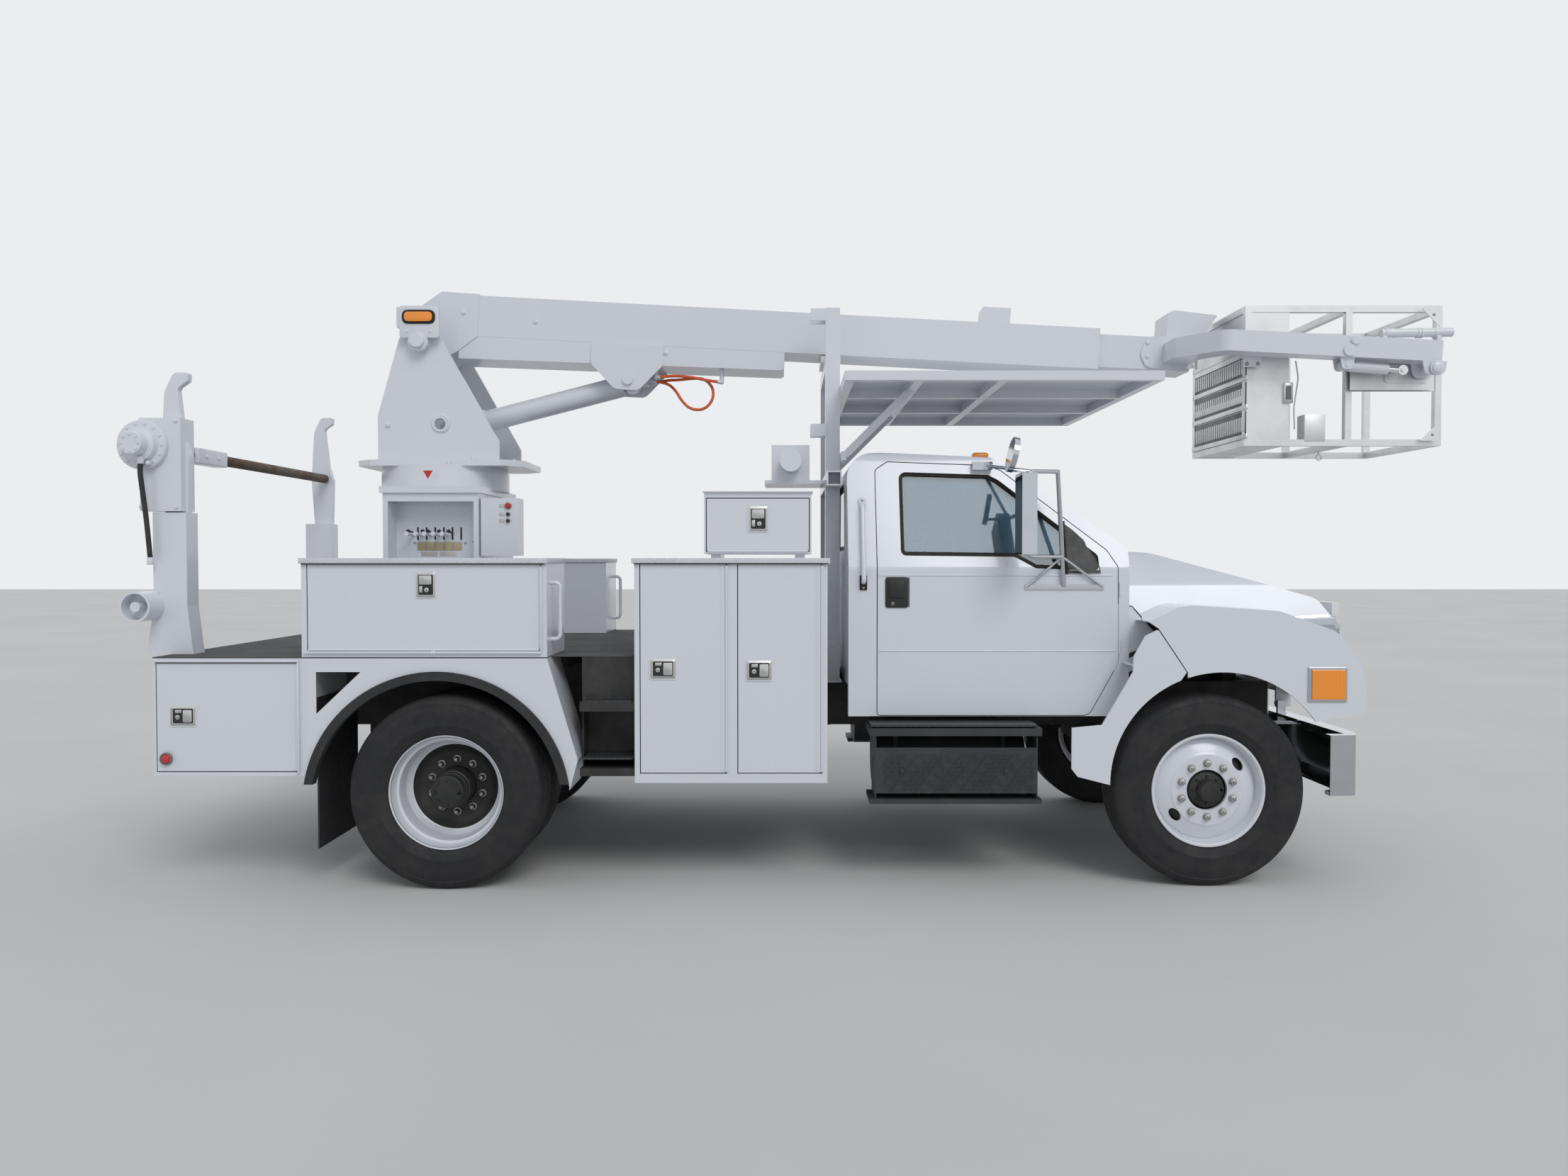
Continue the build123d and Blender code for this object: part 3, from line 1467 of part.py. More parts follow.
# Pedestal: a steel box under the slewing ring, its near face recessed round the valve levers
pedestal_x = rear_axle - 301.5
pedestal_y = -25.0
pedestal_wall = 12.0
recess_depth = 150.0
with BuildPart() as pedestal:
    low = deck_top + seat_gap
    xs = (pedestal_x - pedestal_half_length, pedestal_x + pedestal_half_length)
    ys = (pedestal_y - pedestal_half_width, pedestal_y + pedestal_half_width)
    slab(xs, ys, (low, pedestal_top))
    slab(
        (xs[0] + pedestal_wall, xs[1] - pedestal_wall),
        (ys[0] + recess_depth + pedestal_wall, ys[1] - pedestal_wall),
        (low + pedestal_wall, pedestal_top - pedestal_wall),
        Mode.SUBTRACT,
    )
    slab((xs[0] + 30, xs[1] - 30), (ys[0] - 1, ys[0] + recess_depth), (1560, 2080), Mode.SUBTRACT)
    slab((xs[0] - 16, xs[1] + 16), (ys[0] - 16, ys[1] + 16), (pedestal_top, pedestal_top + 38))
    rod((swing_x, 0, pedestal_top + 30), (swing_x, 0, drum_top), slew_radius)
    rod((swing_x, 0, pedestal_top - 60), (swing_x, 0, drum_top + 1), slew_radius - 90, mode=Mode.SUBTRACT)
    for lever in range(5):
        x = xs[0] + 130 + 52 * lever
        rod((x, ys[0] + recess_depth + 1, 1880), (x, ys[0] + 30, 1890), 7)
        rod((x, ys[0] + 56, 1888), (x, ys[0] + 24, 1891), 13)
    slab((xs[1] + 8, xs[1] + 230), (ys[0] + 16, ys[0] + 150), (1760, 2100))
    slab((xs[1] - 1, xs[1] + 9), (ys[0] + 50, ys[0] + 120), (1800, 2060))
pedestal.part.label = "pedestal"
export_step(pedestal.part, "parts/pedestal.step")

# Turntable: base plate, two A-shaped side plates, pivot pin, cylinder lugs and the lamp box
turret_low = drum_top + running_gap
lug_in = 62.0
lift_pin_radius = 28.0
with BuildPart() as turntable:
    plan_plate(
        [
            (rear_axle - 800, -240),
            (rear_axle - 700, -330),
            (rear_axle + 90, -330),
            (rear_axle + 200, -240),
            (rear_axle + 200, 240),
            (rear_axle + 90, 330),
            (rear_axle - 700, 330),
            (rear_axle - 800, 240),
        ],
        (turret_plate_top - 36, turret_plate_top),
    )
    rod((swing_x, 0, turret_low), (swing_x, 0, turret_plate_top - 30), slew_radius - 8)
    a_plate = [
        (rear_axle - 661, turret_plate_top - 2),
        (rear_axle - 661, 2600),
        (rear_axle - 530, 3060),
        (rear_axle - 470, 3130),
        (rear_axle - 330, 3130),
        (rear_axle - 290, 3080),
        (rear_axle + 63, 2450),
        (rear_axle + 63, turret_plate_top - 2),
    ]
    for hand, side in hands:
        side_plate(
            a_plate,
            (side * (turret_half - turret_plate), side * turret_half),
            radius=[0, 30, 40, 60, 60, 60, 30, 0],
        )
        rod(
            (pivot_x, side * (turret_half - 1), pivot_height),
            (pivot_x, side * (turret_half + 30), pivot_height),
            62,
        )
        rod(
            (lift_eye_x, side * (turret_half - 1), lift_eye_height),
            (lift_eye_x, side * (turret_half + 12), lift_eye_height),
            46,
        )
        rod(
            (lift_eye_x, side * (turret_half - turret_plate - 1), lift_eye_height),
            (lift_eye_x, side * (turret_half + 13), lift_eye_height),
            34,
            mode=Mode.SUBTRACT,
        )
        side_plate(
            [
                (lift_eye_x - 120, turret_plate_top - 2),
                (lift_eye_x - 55, lift_eye_height + 50),
                (lift_eye_x + 55, lift_eye_height + 50),
                (lift_eye_x + 120, turret_plate_top - 2),
            ],
            (side * lug_in, side * (lug_in + 26)),
            radius=[0, 50, 50, 0],
        )
    rod((pivot_x, -turret_half - 20, pivot_height), (pivot_x, turret_half + 20, pivot_height), pivot_radius)
    for hand, side in hands:
        rod(
            (lift_eye_x, side * (lug_in + 2), lift_eye_height),
            (lift_eye_x, side * (lug_in + 34), lift_eye_height),
            lift_pin_radius,
        )
    slab(
        (rear_axle - 655, rear_axle - 641),
        (-turret_half + 5, turret_half - 5),
        (turret_plate_top - 2, 2590),
    )
    slab((rear_axle - 530, rear_axle - 290), (-turret_half - 44, -turret_half + 1), (3120, 3240))
    slab((rear_axle - 500, rear_axle - 320), (-turret_half - 2, -turret_half + 12), (3090, 3130))
turntable.part.label = "turntable"
export_step(turntable.part, "parts/turntable.step")


def boom_side(points, ys, mode=Mode.ADD, radius=0):
    # an outline in boom distances (along, above), as thick as ys
    side_plate([at_boom(u, v) for u, v in points], ys, mode, radius)


def boom_block(us, ys, vs, mode=Mode.ADD):
    # a block between two stations along and above the boom's line
    boom_side([(us[0], vs[0]), (us[0], vs[1]), (us[1], vs[1]), (us[1], vs[0])], ys, mode)


def boom_plan(points, vs, mode=Mode.ADD, radius=0):
    # an outline drawn square to the boom, as (along, y), between two heights above its line
    x, z = at_boom(0, vs[0])
    slope = radians(boom_slope)
    plane = Plane(origin=(x, 0, z), x_dir=(cos(slope), 0, -sin(slope)), z_dir=(sin(slope), 0, cos(slope)))
    with BuildSketch(plane) as outline:
        with BuildLine():
            FilletPolyline(*points, radius=radius, close=True)
        make_face()
    extrude(outline.sketch, amount=vs[1] - vs[0], mode=mode)


# Hoses: a loop on the lift cylinder's end and a feed under the boom, (x, y, z) along each
hose_radius = 9.0
fitting_radius = 13.0
loop_route = [
    (rear_axle + 985, -30, 2846),
    (rear_axle + 1048, -36, 2838),
    (rear_axle + 1102, -46, 2792),
    (rear_axle + 1142, -56, 2722),
    (rear_axle + 1197, -66, 2669),
    (rear_axle + 1280, -72, 2665),
    (rear_axle + 1338, -70, 2725),
    (rear_axle + 1338, -60, 2806),
    (rear_axle + 1280, -46, 2865),
    (rear_axle + 1197, -28, 2866),
    (rear_axle + 1118, -8, 2860),
    (rear_axle + 1044, 12, 2862),
    (rear_axle + 985, 28, 2850),
]
feed_route = [
    (rear_axle + 1014, -112, 2862),
    (rear_axle + 1078, -115, 2868),
    (rear_axle + 1152, -115, 2867),
    (rear_axle + 1226, -112, 2858),
    (rear_axle + 1300, -108, 2842),
    (rear_axle + 1368, -104, 2834),
]


def cord_radii(points):
    # the radius of each arc: 0.45 of the shorter run over the tangent of half the turn
    radii = []
    for before, here, after in zip(points, points[1:], points[2:]):
        run_in = Vector(*here) - Vector(*before)
        run_out = Vector(*after) - Vector(*here)
        half_turn = radians(run_in.get_angle(run_out) / 2)
        radii.append(0.45 * min(run_in.length, run_out.length) / tan(half_turn))
    return radii


def hose_tube(route):
    # the plain tube of a hose along its route
    with BuildLine() as path:
        FilletPolyline(*route, radius=cord_radii(route))
    with BuildSketch(Plane(origin=path.line @ 0, z_dir=path.line % 0)) as section:
        Circle(hose_radius)
    sweep(section.sketch, path=path.line)


for name, route in (("hose_loop", loop_route), ("hose_feed", feed_route)):
    print(name, "radii", [round(radius) for radius in cord_radii(route)])
    with BuildPart() as hose:
        hose_tube(route)
    hose.part.label = name
    export_step(hose.part, f"parts/{name}.step")


# Base boom: box section with a deeper root, a stiffening box below it and the cylinder bracket
root_front = 300.0
lower_front = 2180.0
lower_depth = 140.0
with BuildPart() as boom_base:
    boom_side(
        [
            (-100, 60),
            (-60, 236),
            (72, 338),
            (root_front, boom_top + 8),
            (root_front, boom_bottom),
            (180, -20),
            (90, -70),
            (-40, -90),
            (-100, -40),
        ],
        (-boom_half - 6, boom_half + 6),
        radius=[0, 20, 20, 0, 0, 40, 40, 40, 40],
    )
    boom_block((root_front - 20, boom_mouth), (-boom_half, boom_half), (boom_bottom, boom_top))
    boom_side(
        [
            (185, boom_bottom - 60),
            (root_front, boom_bottom + 2),
            (lower_front, boom_bottom + 2),
            (lower_front, boom_bottom - lower_depth + 40),
            (lower_front - 20, boom_bottom - lower_depth + 30),
            (190, boom_bottom - lower_depth),
        ],
        (-boom_half + 1, boom_half - 1),
    )
    boom_block(
        (root_front + 40, lower_front - 8),
        (-boom_half + boom_wall, boom_half - boom_wall),
        (boom_bottom - lower_depth + 48, boom_bottom - boom_wall),
        Mode.SUBTRACT,
    )
    boom_block(
        (inner_rear - 60, boom_mouth + 1),
        (-boom_half + boom_wall, boom_half - boom_wall),
        (boom_bottom + boom_wall, boom_top - boom_wall),
        Mode.SUBTRACT,
    )
    bracket_v = -138.0
    for hand, side in hands:
        boom_side(
            [
                (1000, boom_bottom - 2),
                (1000, boom_bottom - lower_depth + 10),
                (1150, bracket_v - 60),
                (1300, bracket_v - 60),
                (1440, boom_bottom - lower_depth + 20),
                (1440, boom_bottom - 2),
            ],
            (side * (boom_half - 2), side * (boom_half + 12)),
            radius=[0, 40, 60, 60, 40, 0],
        )
        rod(
            (pivot_x, side * (boom_half - 10), pivot_height),
            (pivot_x, side * (turret_half - turret_plate - 6), pivot_height),
            92,
        )
    rod((lift_pin_x, -boom_half - 30, lift_pin_height), (lift_pin_x, boom_half + 30, lift_pin_height), 30)
    rod(
        (pivot_x, -turret_half, pivot_height),
        (pivot_x, turret_half, pivot_height),
        pivot_radius + running_gap,
        mode=Mode.SUBTRACT,
    )
    boom_block((3390, 3560), (-90, 90), (boom_top - 1, boom_top + 110))
    mouth_pads = (
        (inner_top + 0.5, boom_top - boom_wall + 1),
        (boom_bottom + boom_wall - 1, inner_bottom - 0.5),
    )
    for low, high in mouth_pads:
        boom_block((boom_mouth - 160, boom_mouth - 6), (-100, 100), (low, high))
    for hand, side in hands:
        boom_block(
            (boom_mouth - 160, boom_mouth - 6),
            (side * (inner_half + 0.5), side * (boom_half - boom_wall + 1)),
            (inner_bottom + 30, inner_top - 30),
        )
    for end, near in ((feed_route[0], feed_route[1]), (feed_route[-1], feed_route[-2])):
        run = (Vector(*near) - Vector(*end)).normalized()
        back = Vector(*end) - run * 26
        rod(back, Vector(*end), fitting_radius)
        with Locations(back):
            Sphere(fitting_radius)
        rod(back, (back.X, back.Y, at_boom(back.X - pivot_x, -15)[1]), fitting_radius)
boom_base.part.label = "boom_base"
export_step(boom_base.part, "parts/boom_base.step")

# Tip boom: the sliding inner section with its tip plates and top box
inner_wall = 8.0
tip_end = 4700.0
with BuildPart() as boom_tip:
    boom_block((inner_rear, tip_end - 30), (-inner_half, inner_half), (inner_bottom, inner_top))
    boom_block(
        (inner_rear - 1, tip_end - 60),
        (-inner_half + inner_wall, inner_half - inner_wall),
        (inner_bottom + inner_wall, inner_top - inner_wall),
        Mode.SUBTRACT,
    )
    for hand, side in hands:
        boom_side(
            [
                (4360, 190),
                (4400, 300),
                (4700, 318),
                (4700, 120),
                (4560, 96),
                (4400, 110),
            ],
            (side * (inner_half - 1), side * (inner_half + 12)),
            radius=[60, 60, 10, 20, 60, 60],
        )
    boom_side(
        [(4520, 298), (4520, 452), (4560, 470), (4826, 452), (4730, 298)],
        (-inner_half + 2, inner_half - 2),
        radius=[0, 10, 10, 6, 0],
    )
boom_tip.part.label = "boom_tip"
export_step(boom_tip.part, "parts/boom_tip.step")

# Platform arm: out from the boom's tip, along its right side to the platform's pin
arm_low = 137.0
arm_high = 257.0
arm_outer = 640.0
arm_inner = 510.0
pin_u = 5896.0
with BuildPart() as platform_arm:
    boom_plan(
        [
            (4500, -inner_half - 12 - seat_gap),
            (4500, -330),
            (4690, -arm_outer),
            (pin_u + 40, -arm_outer),
            (pin_u + 40, -arm_inner),
            (4760, -arm_inner),
            (4660, -330),
            (4660, -inner_half - 12 - seat_gap),
        ],
        (arm_low, arm_high),
        radius=[0, 60, 80, 20, 20, 60, 40, 0],
    )
    for low, high in ((arm_outer - 14, arm_outer), (arm_inner, arm_inner + 14)):
        boom_side(
            [
                (pin_u - 80, arm_low + 2),
                (pin_u - 60, 60),
                (pin_u + 50, 60),
                (pin_u + 60, arm_low + 2),
            ],
            (-high, -low),
            radius=[0, 40, 40, 0],
        )
    rod(
        (platform_pin_x, -arm_outer - 14, platform_pin_height),
        (platform_pin_x, -arm_inner + 20, platform_pin_height),
        26,
    )
    for low, high in ((level_y - 48, level_y - 36), (level_y + 36, level_y + 48)):
        side_plate(
            [
                (level_pin[0] - 44, 2912),
                (level_pin[0] - 30, level_pin[1] - 26),
                (level_pin[0] + 30, level_pin[1] - 26),
                (level_pin[0] + 44, 2912),
            ],
            (low, high),
            radius=[0, 24, 24, 0],
        )
    rod(
        (level_pin[0], level_y - 52, level_pin[1]),
        (level_pin[0], level_y + 52, level_pin[1]),
        level_pin_radius,
    )
    rod(
        (level_pin[0], -arm_outer + 10, 2931),
        (level_pin[0], -arm_outer - 12, 2931),
        34,
    )
platform_arm.part.label = "platform_arm"
export_step(platform_arm.part, "parts/platform_arm.step")

# Work platform, stowed on its side: its floor faces the rear and its mouth faces forward
crank_face = -arm_inner + 26
with BuildPart() as basket:
    tube = basket_tube
    corners = [
        (basket_near + tube / 2, basket_bottom + tube / 2),
        (basket_far - tube / 2, basket_bottom + tube / 2),
        (basket_far - tube / 2, basket_top - tube / 2),
        (basket_near + tube / 2, basket_top - tube / 2),
    ]
    for y, z in corners:
        slab((basket_rear, basket_front), (y - tube / 2, y + tube / 2), (z - tube / 2, z + tube / 2))
    for x in (basket_rear, basket_rear + 590, basket_front - tube):
        for index, (y, z) in enumerate(corners):
            far_y, far_z = corners[(index + 1) % 4]
            slab(
                (x, x + tube),
                (min(y, far_y) - tube / 2, max(y, far_y) + tube / 2),
                (min(z, far_z) - tube / 2, max(z, far_z) + tube / 2),
            )
    plank_count = 3
    plank_pitch = (basket_top - basket_bottom - tube) / plank_count
    for plank in range(plank_count):
        z = basket_bottom + tube / 2 + plank_pitch * (plank + 0.5)
        slab(
            (basket_rear + 8, basket_rear + 20),
            (basket_near + 4, basket_far - 4),
            (z - plank_pitch / 2 + 20, z + plank_pitch / 2 - 20),
        )
    for plank in range(1, plank_count):
        z = basket_bottom + tube / 2 + plank_pitch * plank
        slab((basket_rear, basket_rear + 36), (basket_near + 4, basket_far - 4), (z - 20, z + 20))
    kick = 260.0
    for y in (basket_near + 4, basket_far - 4 - 3):
        slab((basket_rear + 10, basket_rear + kick), (y, y + 3), (basket_bottom + 10, basket_top - 10))
    for z in (basket_bottom + 4, basket_top - 4 - 3):
        slab((basket_rear + 10, basket_rear + kick), (basket_near + 10, basket_far - 10), (z, z + 3))
    slab((basket_rear + 600, basket_front - 20), (basket_near + 4, basket_near + 12), (2724, 2990))
    side_plate(
        [
            (platform_pin_x - 210, platform_pin_height - 60),
            (platform_pin_x - 210, platform_pin_height + 40),
            (platform_pin_x + 60, platform_pin_height + 60),
            (platform_pin_x + 60, platform_pin_height - 60),
        ],
        (basket_near + 5, crank_face),
        radius=[20, 20, 40, 40],
    )
    rod(
        (platform_pin_x, -arm_inner, platform_pin_height),
        (platform_pin_x, basket_near + 13, platform_pin_height),
        26 + running_gap,
        mode=Mode.SUBTRACT,
    )
basket.part.label = "basket"
export_step(basket.part, "parts/basket.step")


def cylinder_end(pin, other):
    # the unit direction from one pin of a cylinder to the other, in the side view
    run = Vector(other[0] - pin[0], 0, other[1] - pin[1])
    return run.normalized(), run.length


# Boom lift cylinder: its barrel hangs from the boom's bracket, its rod reaches the turntable
barrel_pin = (lift_pin_x, lift_pin_height)
eye_pin = (lift_eye_x, lift_eye_height)
along, lift_length = cylinder_end(barrel_pin, eye_pin)
lift_start = Vector(lift_pin_x, 0, lift_pin_height)
gland = lift_start + along * (lift_length - 150)
with BuildPart() as lift_barrel:
    rod(lift_start + along * 50, gland, cylinder_radius)
    rod(gland - along * 60, gland, cylinder_radius + 8)
    rod((lift_pin_x, -58, lift_pin_height), (lift_pin_x, 58, lift_pin_height), 56)
    rod(
        (lift_pin_x, -59, lift_pin_height),
        (lift_pin_x, 59, lift_pin_height),
        30 + running_gap,
        mode=Mode.SUBTRACT,
    )
    rod(lift_start + along * 110, gland + along, rod_radius + running_gap, mode=Mode.SUBTRACT)
    slab((lift_pin_x + 40, lift_pin_x + 112), (-46, 46), (lift_pin_height - 14, lift_pin_height + 36))
    for end, near in ((loop_route[0], loop_route[1]), (loop_route[-1], loop_route[-2])):
        run = (Vector(*near) - Vector(*end)).normalized()
        rod(Vector(*end) - run * 62, Vector(*end), fitting_radius)
lift_barrel.part.label = "lift_barrel"
export_step(lift_barrel.part, "parts/lift_barrel.step")
with BuildPart() as lift_rod:
    eye = lift_start + along * lift_length
    rod(lift_start + along * 130, eye - along * 30, rod_radius)
    rod((lift_eye_x, -lug_in + 4, lift_eye_height), (lift_eye_x, lug_in - 4, lift_eye_height), 50)
    pin_half = lug_in - seat_gap
    rod((lift_eye_x, -pin_half, lift_eye_height), (lift_eye_x, pin_half, lift_eye_height), lift_pin_radius)
lift_rod.part.label = "lift_rod"
export_step(lift_rod.part, "parts/lift_rod.step")

# Platform levelling cylinder between lugs under the arm and the platform's crank
level_along, level_length = cylinder_end(level_pin, crank_pin)
level_start = Vector(level_pin[0], level_y, level_pin[1])
level_gland = level_length - 85
with BuildPart() as level_barrel:
    rod(level_start + level_along * 24, level_start + level_along * level_gland, level_radius)
    rod((level_pin[0], level_y - 20, level_pin[1]), (level_pin[0], level_y + 20, level_pin[1]), 30)
    rod(
        (level_pin[0], level_y - 21, level_pin[1]),
        (level_pin[0], level_y + 21, level_pin[1]),
        level_pin_radius + running_gap,
        mode=Mode.SUBTRACT,
    )
    rod(
        level_start + level_along * 44,
        level_start + level_along * (level_gland + 1),
        level_rod_radius + running_gap,
        mode=Mode.SUBTRACT,
    )
level_barrel.part.label = "level_barrel"
export_step(level_barrel.part, "parts/level_barrel.step")
with BuildPart() as level_rod:
    rod(level_start + level_along * 46, level_start + level_along * (level_length - 20), level_rod_radius)
    rod((crank_pin[0], level_y - 18, crank_pin[1]), (crank_pin[0], level_y + 18, crank_pin[1]), 28)
    rod(
        (crank_pin[0], level_y - 26, crank_pin[1]),
        (crank_pin[0], crank_face - seat_gap, crank_pin[1]),
        level_pin_radius,
    )
level_rod.part.label = "level_rod"
export_step(level_rod.part, "parts/level_rod.step")

# Boom rest: columns on the frame, a cross beam and pad under the boom, and the mast
rest_pad_top = 2982.0
winch_x = rear_axle + 1815
with BuildPart() as boom_rest:
    for hand, side in hands:
        top = mast_top if hand == "right" else rest_pad_top - 40
        y = side * abs(rest_y)
        slab(
            (rest_x - mast_half, rest_x + mast_half),
            (y - mast_half, y + mast_half),
            (rail_top + seat_gap, top),
        )
        slab(
            (rest_x - mast_half - 10, rest_x + mast_half + 10),
            (y - 60, y + 60),
            (rail_top + seat_gap, rail_top + 14),
        )
    slab((rest_x - mast_half, rest_x + mast_half), (-700, 560), (2157, 2241))
    slab((rest_x - mast_half + 8, rest_x + mast_half - 8), (-701, -560), (2165, 2233), Mode.SUBTRACT)
    slab((rest_x - mast_half, rest_x + mast_half), (-400, 400), (rest_pad_top - 130, rest_pad_top - 40))
    slab((rest_x - 60, rest_x + 60), (-170, 170), (rest_pad_top - 41, rest_pad_top))
    for z in (2480, 3150):
        slab((rest_x - 130, rest_x - mast_half + 1), (rest_y - 60, rest_y - 50), (z - 20, z + 50))
        slab((rest_x - 130, rest_x - mast_half + 1), (rest_y + 50, rest_y + 60), (z - 20, z + 50))
        slab((rest_x - mast_half - 6, rest_x - mast_half + 1), (rest_y - 60, rest_y + 60), (z - 20, z + 50))
    # winch behind the mast: side plates, rope drum and motor
    slab((winch_x - 150, rest_x - mast_half + 1), (-560, -160), (2176, 2196))
    for y in (-540, -220):
        slab((winch_x - 110, winch_x + 110), (y - 8, y + 8), (2190, 2400))
    rod((winch_x, -540, 2300), (winch_x, -220, 2300), 60)
    for y in (-520, -232):
        rod((winch_x, y - 6, 2300), (winch_x, y + 6, 2300), 95)
    rod((winch_x, -540, 2300), (winch_x, -680, 2300), 62)
boom_rest.part.label = "boom_rest"
export_step(boom_rest.part, "parts/boom_rest.step")

# Cab guard: a rail frame with grip planks above the cab, braced from the boom rest
with BuildPart() as cab_guard:
    half = guard_tube / 2
    rear = rest_x + mast_half + seat_gap
    for y in (-guard_half, -guard_half / 3, guard_half / 3, guard_half):
        slab((rear, guard_front), (y - half, y + half), (guard_height - half, guard_height + half))
    for x in (rear, rear + 376, (rear + guard_front) / 2 - half, guard_front - guard_tube):
        slab(
            (x, x + guard_tube),
            (-guard_half - half, guard_half + half),
            (guard_height - half, guard_height + half),
        )
    for bay in (-1, 0, 1):
        middle = bay * guard_half * 2 / 3
        slab(
            (rear, guard_front),
            (middle - guard_half / 3 + 10, middle + guard_half / 3 - 10),
            (guard_height + half, guard_height + half + 4),
        )
    for hand, side in hands:
        y = side * 600
        bar((rear + 24, y, 2338), (rear + 400, y, guard_height - 10), 40, 40)
        slab((rear, rear + 30), (side * 630, side * (abs(rest_y) - 30)), (2306, 2356))
cab_guard.part.label = "cab_guard"
export_step(cab_guard.part, "parts/cab_guard.step")

# Reel stands at the tail: posts, gearbox block, hooks, the capstan and the drive motor
with BuildPart() as reel_stands:
    for hand, side in hands:
        y = side * reel_half
        side_plate(
            [
                (reel_x - 130, deck_top + seat_gap),
                (reel_x - 90, deck_top + 260),
                (reel_x - 90, 1990),
                (reel_x + 90, 1990),
                (reel_x + 90, deck_top + 260),
                (reel_x + 120, deck_top + seat_gap),
            ],
            (y - 60, y + 60),
        )
        side_plate(
            [
                (reel_x - 40, 1980),
                (reel_x - 60, 2300),
                (reel_x - 40, 2640),
                (reel_x + 10, 2744),
                (reel_x + 90, 2744),
                (reel_x + 86, 2700),
                (reel_x + 30, 2660),
                (reel_x + 60, 2400),
                (reel_x + 90, 2300),
                (reel_x + 80, 1980),
            ],
            (y - 22, y + 22),
            radius=[0, 40, 60, 40, 10, 10, 30, 60, 40, 0],
        )
    y = -reel_half
    slab((reel_x - 150, reel_x + 70), (y - 70, y + 70), (1997, 2495))
    rod((reel_x - 125, y + 60, 2349), (reel_x - 125, y - 40, 2349), 132)
    rod((reel_x - 125, y - 40, 2349), (reel_x - 125, y - 205, 2349), 56)
    slab((reel_x - 190, reel_x - 60), (y - 70, y + 50), (1420, 1560))
    rod((reel_x - 112, y + 10, 1488), (reel_x - 112, y - 205, 1488), 80)
    rod((reel_x - 112, y - 130, 1488), (reel_x - 112, y - 206, 1488), 70, mode=Mode.SUBTRACT)
    rod((reel_x - 112, y - 120, 1488), (reel_x - 112, y - 200, 1488), 26)
reel_stands.part.label = "reel_stands"
export_step(reel_stands.part, "parts/reel_stands.step")

# Reel spindle: a square drive sleeve on the near stand and the bare bar across to the far one
with BuildPart() as reel_spindle:
    slab((spindle_x - 36, spindle_x + 36), (-900, -500), (spindle_height - 36, spindle_height + 36))
    rod((spindle_x, -510, spindle_height), (spindle_x, reel_half - 22 - seat_gap, spindle_height), 30)
reel_spindle.part.label = "reel_spindle"
export_step(reel_spindle.part, "parts/reel_spindle.step")
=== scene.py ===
import json
import math

import bpy
from mathutils import Matrix, Vector

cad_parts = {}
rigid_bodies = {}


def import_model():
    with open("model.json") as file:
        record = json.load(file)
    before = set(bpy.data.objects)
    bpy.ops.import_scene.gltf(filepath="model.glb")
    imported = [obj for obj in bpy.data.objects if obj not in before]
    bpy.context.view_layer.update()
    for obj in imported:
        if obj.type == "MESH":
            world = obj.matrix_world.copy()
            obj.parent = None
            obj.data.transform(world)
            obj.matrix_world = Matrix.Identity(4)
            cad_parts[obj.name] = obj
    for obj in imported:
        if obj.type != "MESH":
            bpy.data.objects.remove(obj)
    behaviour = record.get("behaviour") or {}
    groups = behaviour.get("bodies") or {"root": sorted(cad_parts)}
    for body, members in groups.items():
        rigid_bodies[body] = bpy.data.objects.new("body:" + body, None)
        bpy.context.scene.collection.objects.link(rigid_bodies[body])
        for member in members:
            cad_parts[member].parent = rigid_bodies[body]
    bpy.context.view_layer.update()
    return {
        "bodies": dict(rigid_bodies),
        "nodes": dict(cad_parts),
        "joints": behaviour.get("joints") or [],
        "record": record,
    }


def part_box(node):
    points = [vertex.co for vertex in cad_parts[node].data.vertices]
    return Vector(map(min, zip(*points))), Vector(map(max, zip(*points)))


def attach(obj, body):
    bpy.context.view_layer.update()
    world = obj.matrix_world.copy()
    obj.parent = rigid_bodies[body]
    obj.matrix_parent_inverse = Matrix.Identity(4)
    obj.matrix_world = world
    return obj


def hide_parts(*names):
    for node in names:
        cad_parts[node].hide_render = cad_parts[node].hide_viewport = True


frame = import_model()
nodes = frame["nodes"]
bpy.context.scene.view_settings.view_transform = "Standard"


def middleOf(node):
    low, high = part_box(node)
    return (low + high) / 2


rearAxle = middleOf("rear_tyres_right").x
axleHeight = middleOf("front_tyre_right").z
hands = (("Right", "right", -1), ("Left", "left", 1))


def station(x):
    # metres forward of the rear axle, as the frame's x
    return rearAxle + x


def at(x, y, z):
    # a point given by its station
    return station(x), y, z


def outline(points):
    # side-view points given by their stations
    return [(station(x), z) for x, z in points]


# camera: the photograph's place and angle
cameraAt = {"station": 1.777, "across": -7.13, "height": 1.735, "downDegrees": 1.414}
photo = {"width": 2212, "focalPixels": 1600.0, "sensor": 36.0}
bpy.ops.object.camera_add(
    location=(station(cameraAt["station"]), cameraAt["across"], cameraAt["height"]),
    rotation=(math.radians(90 - cameraAt["downDegrees"]), 0, 0),
)
camera = bpy.context.object
camera.data.sensor_width = photo["sensor"]
camera.data.lens = photo["sensor"] * photo["focalPixels"] / photo["width"]
bpy.context.scene.camera = camera
print("camera ready")


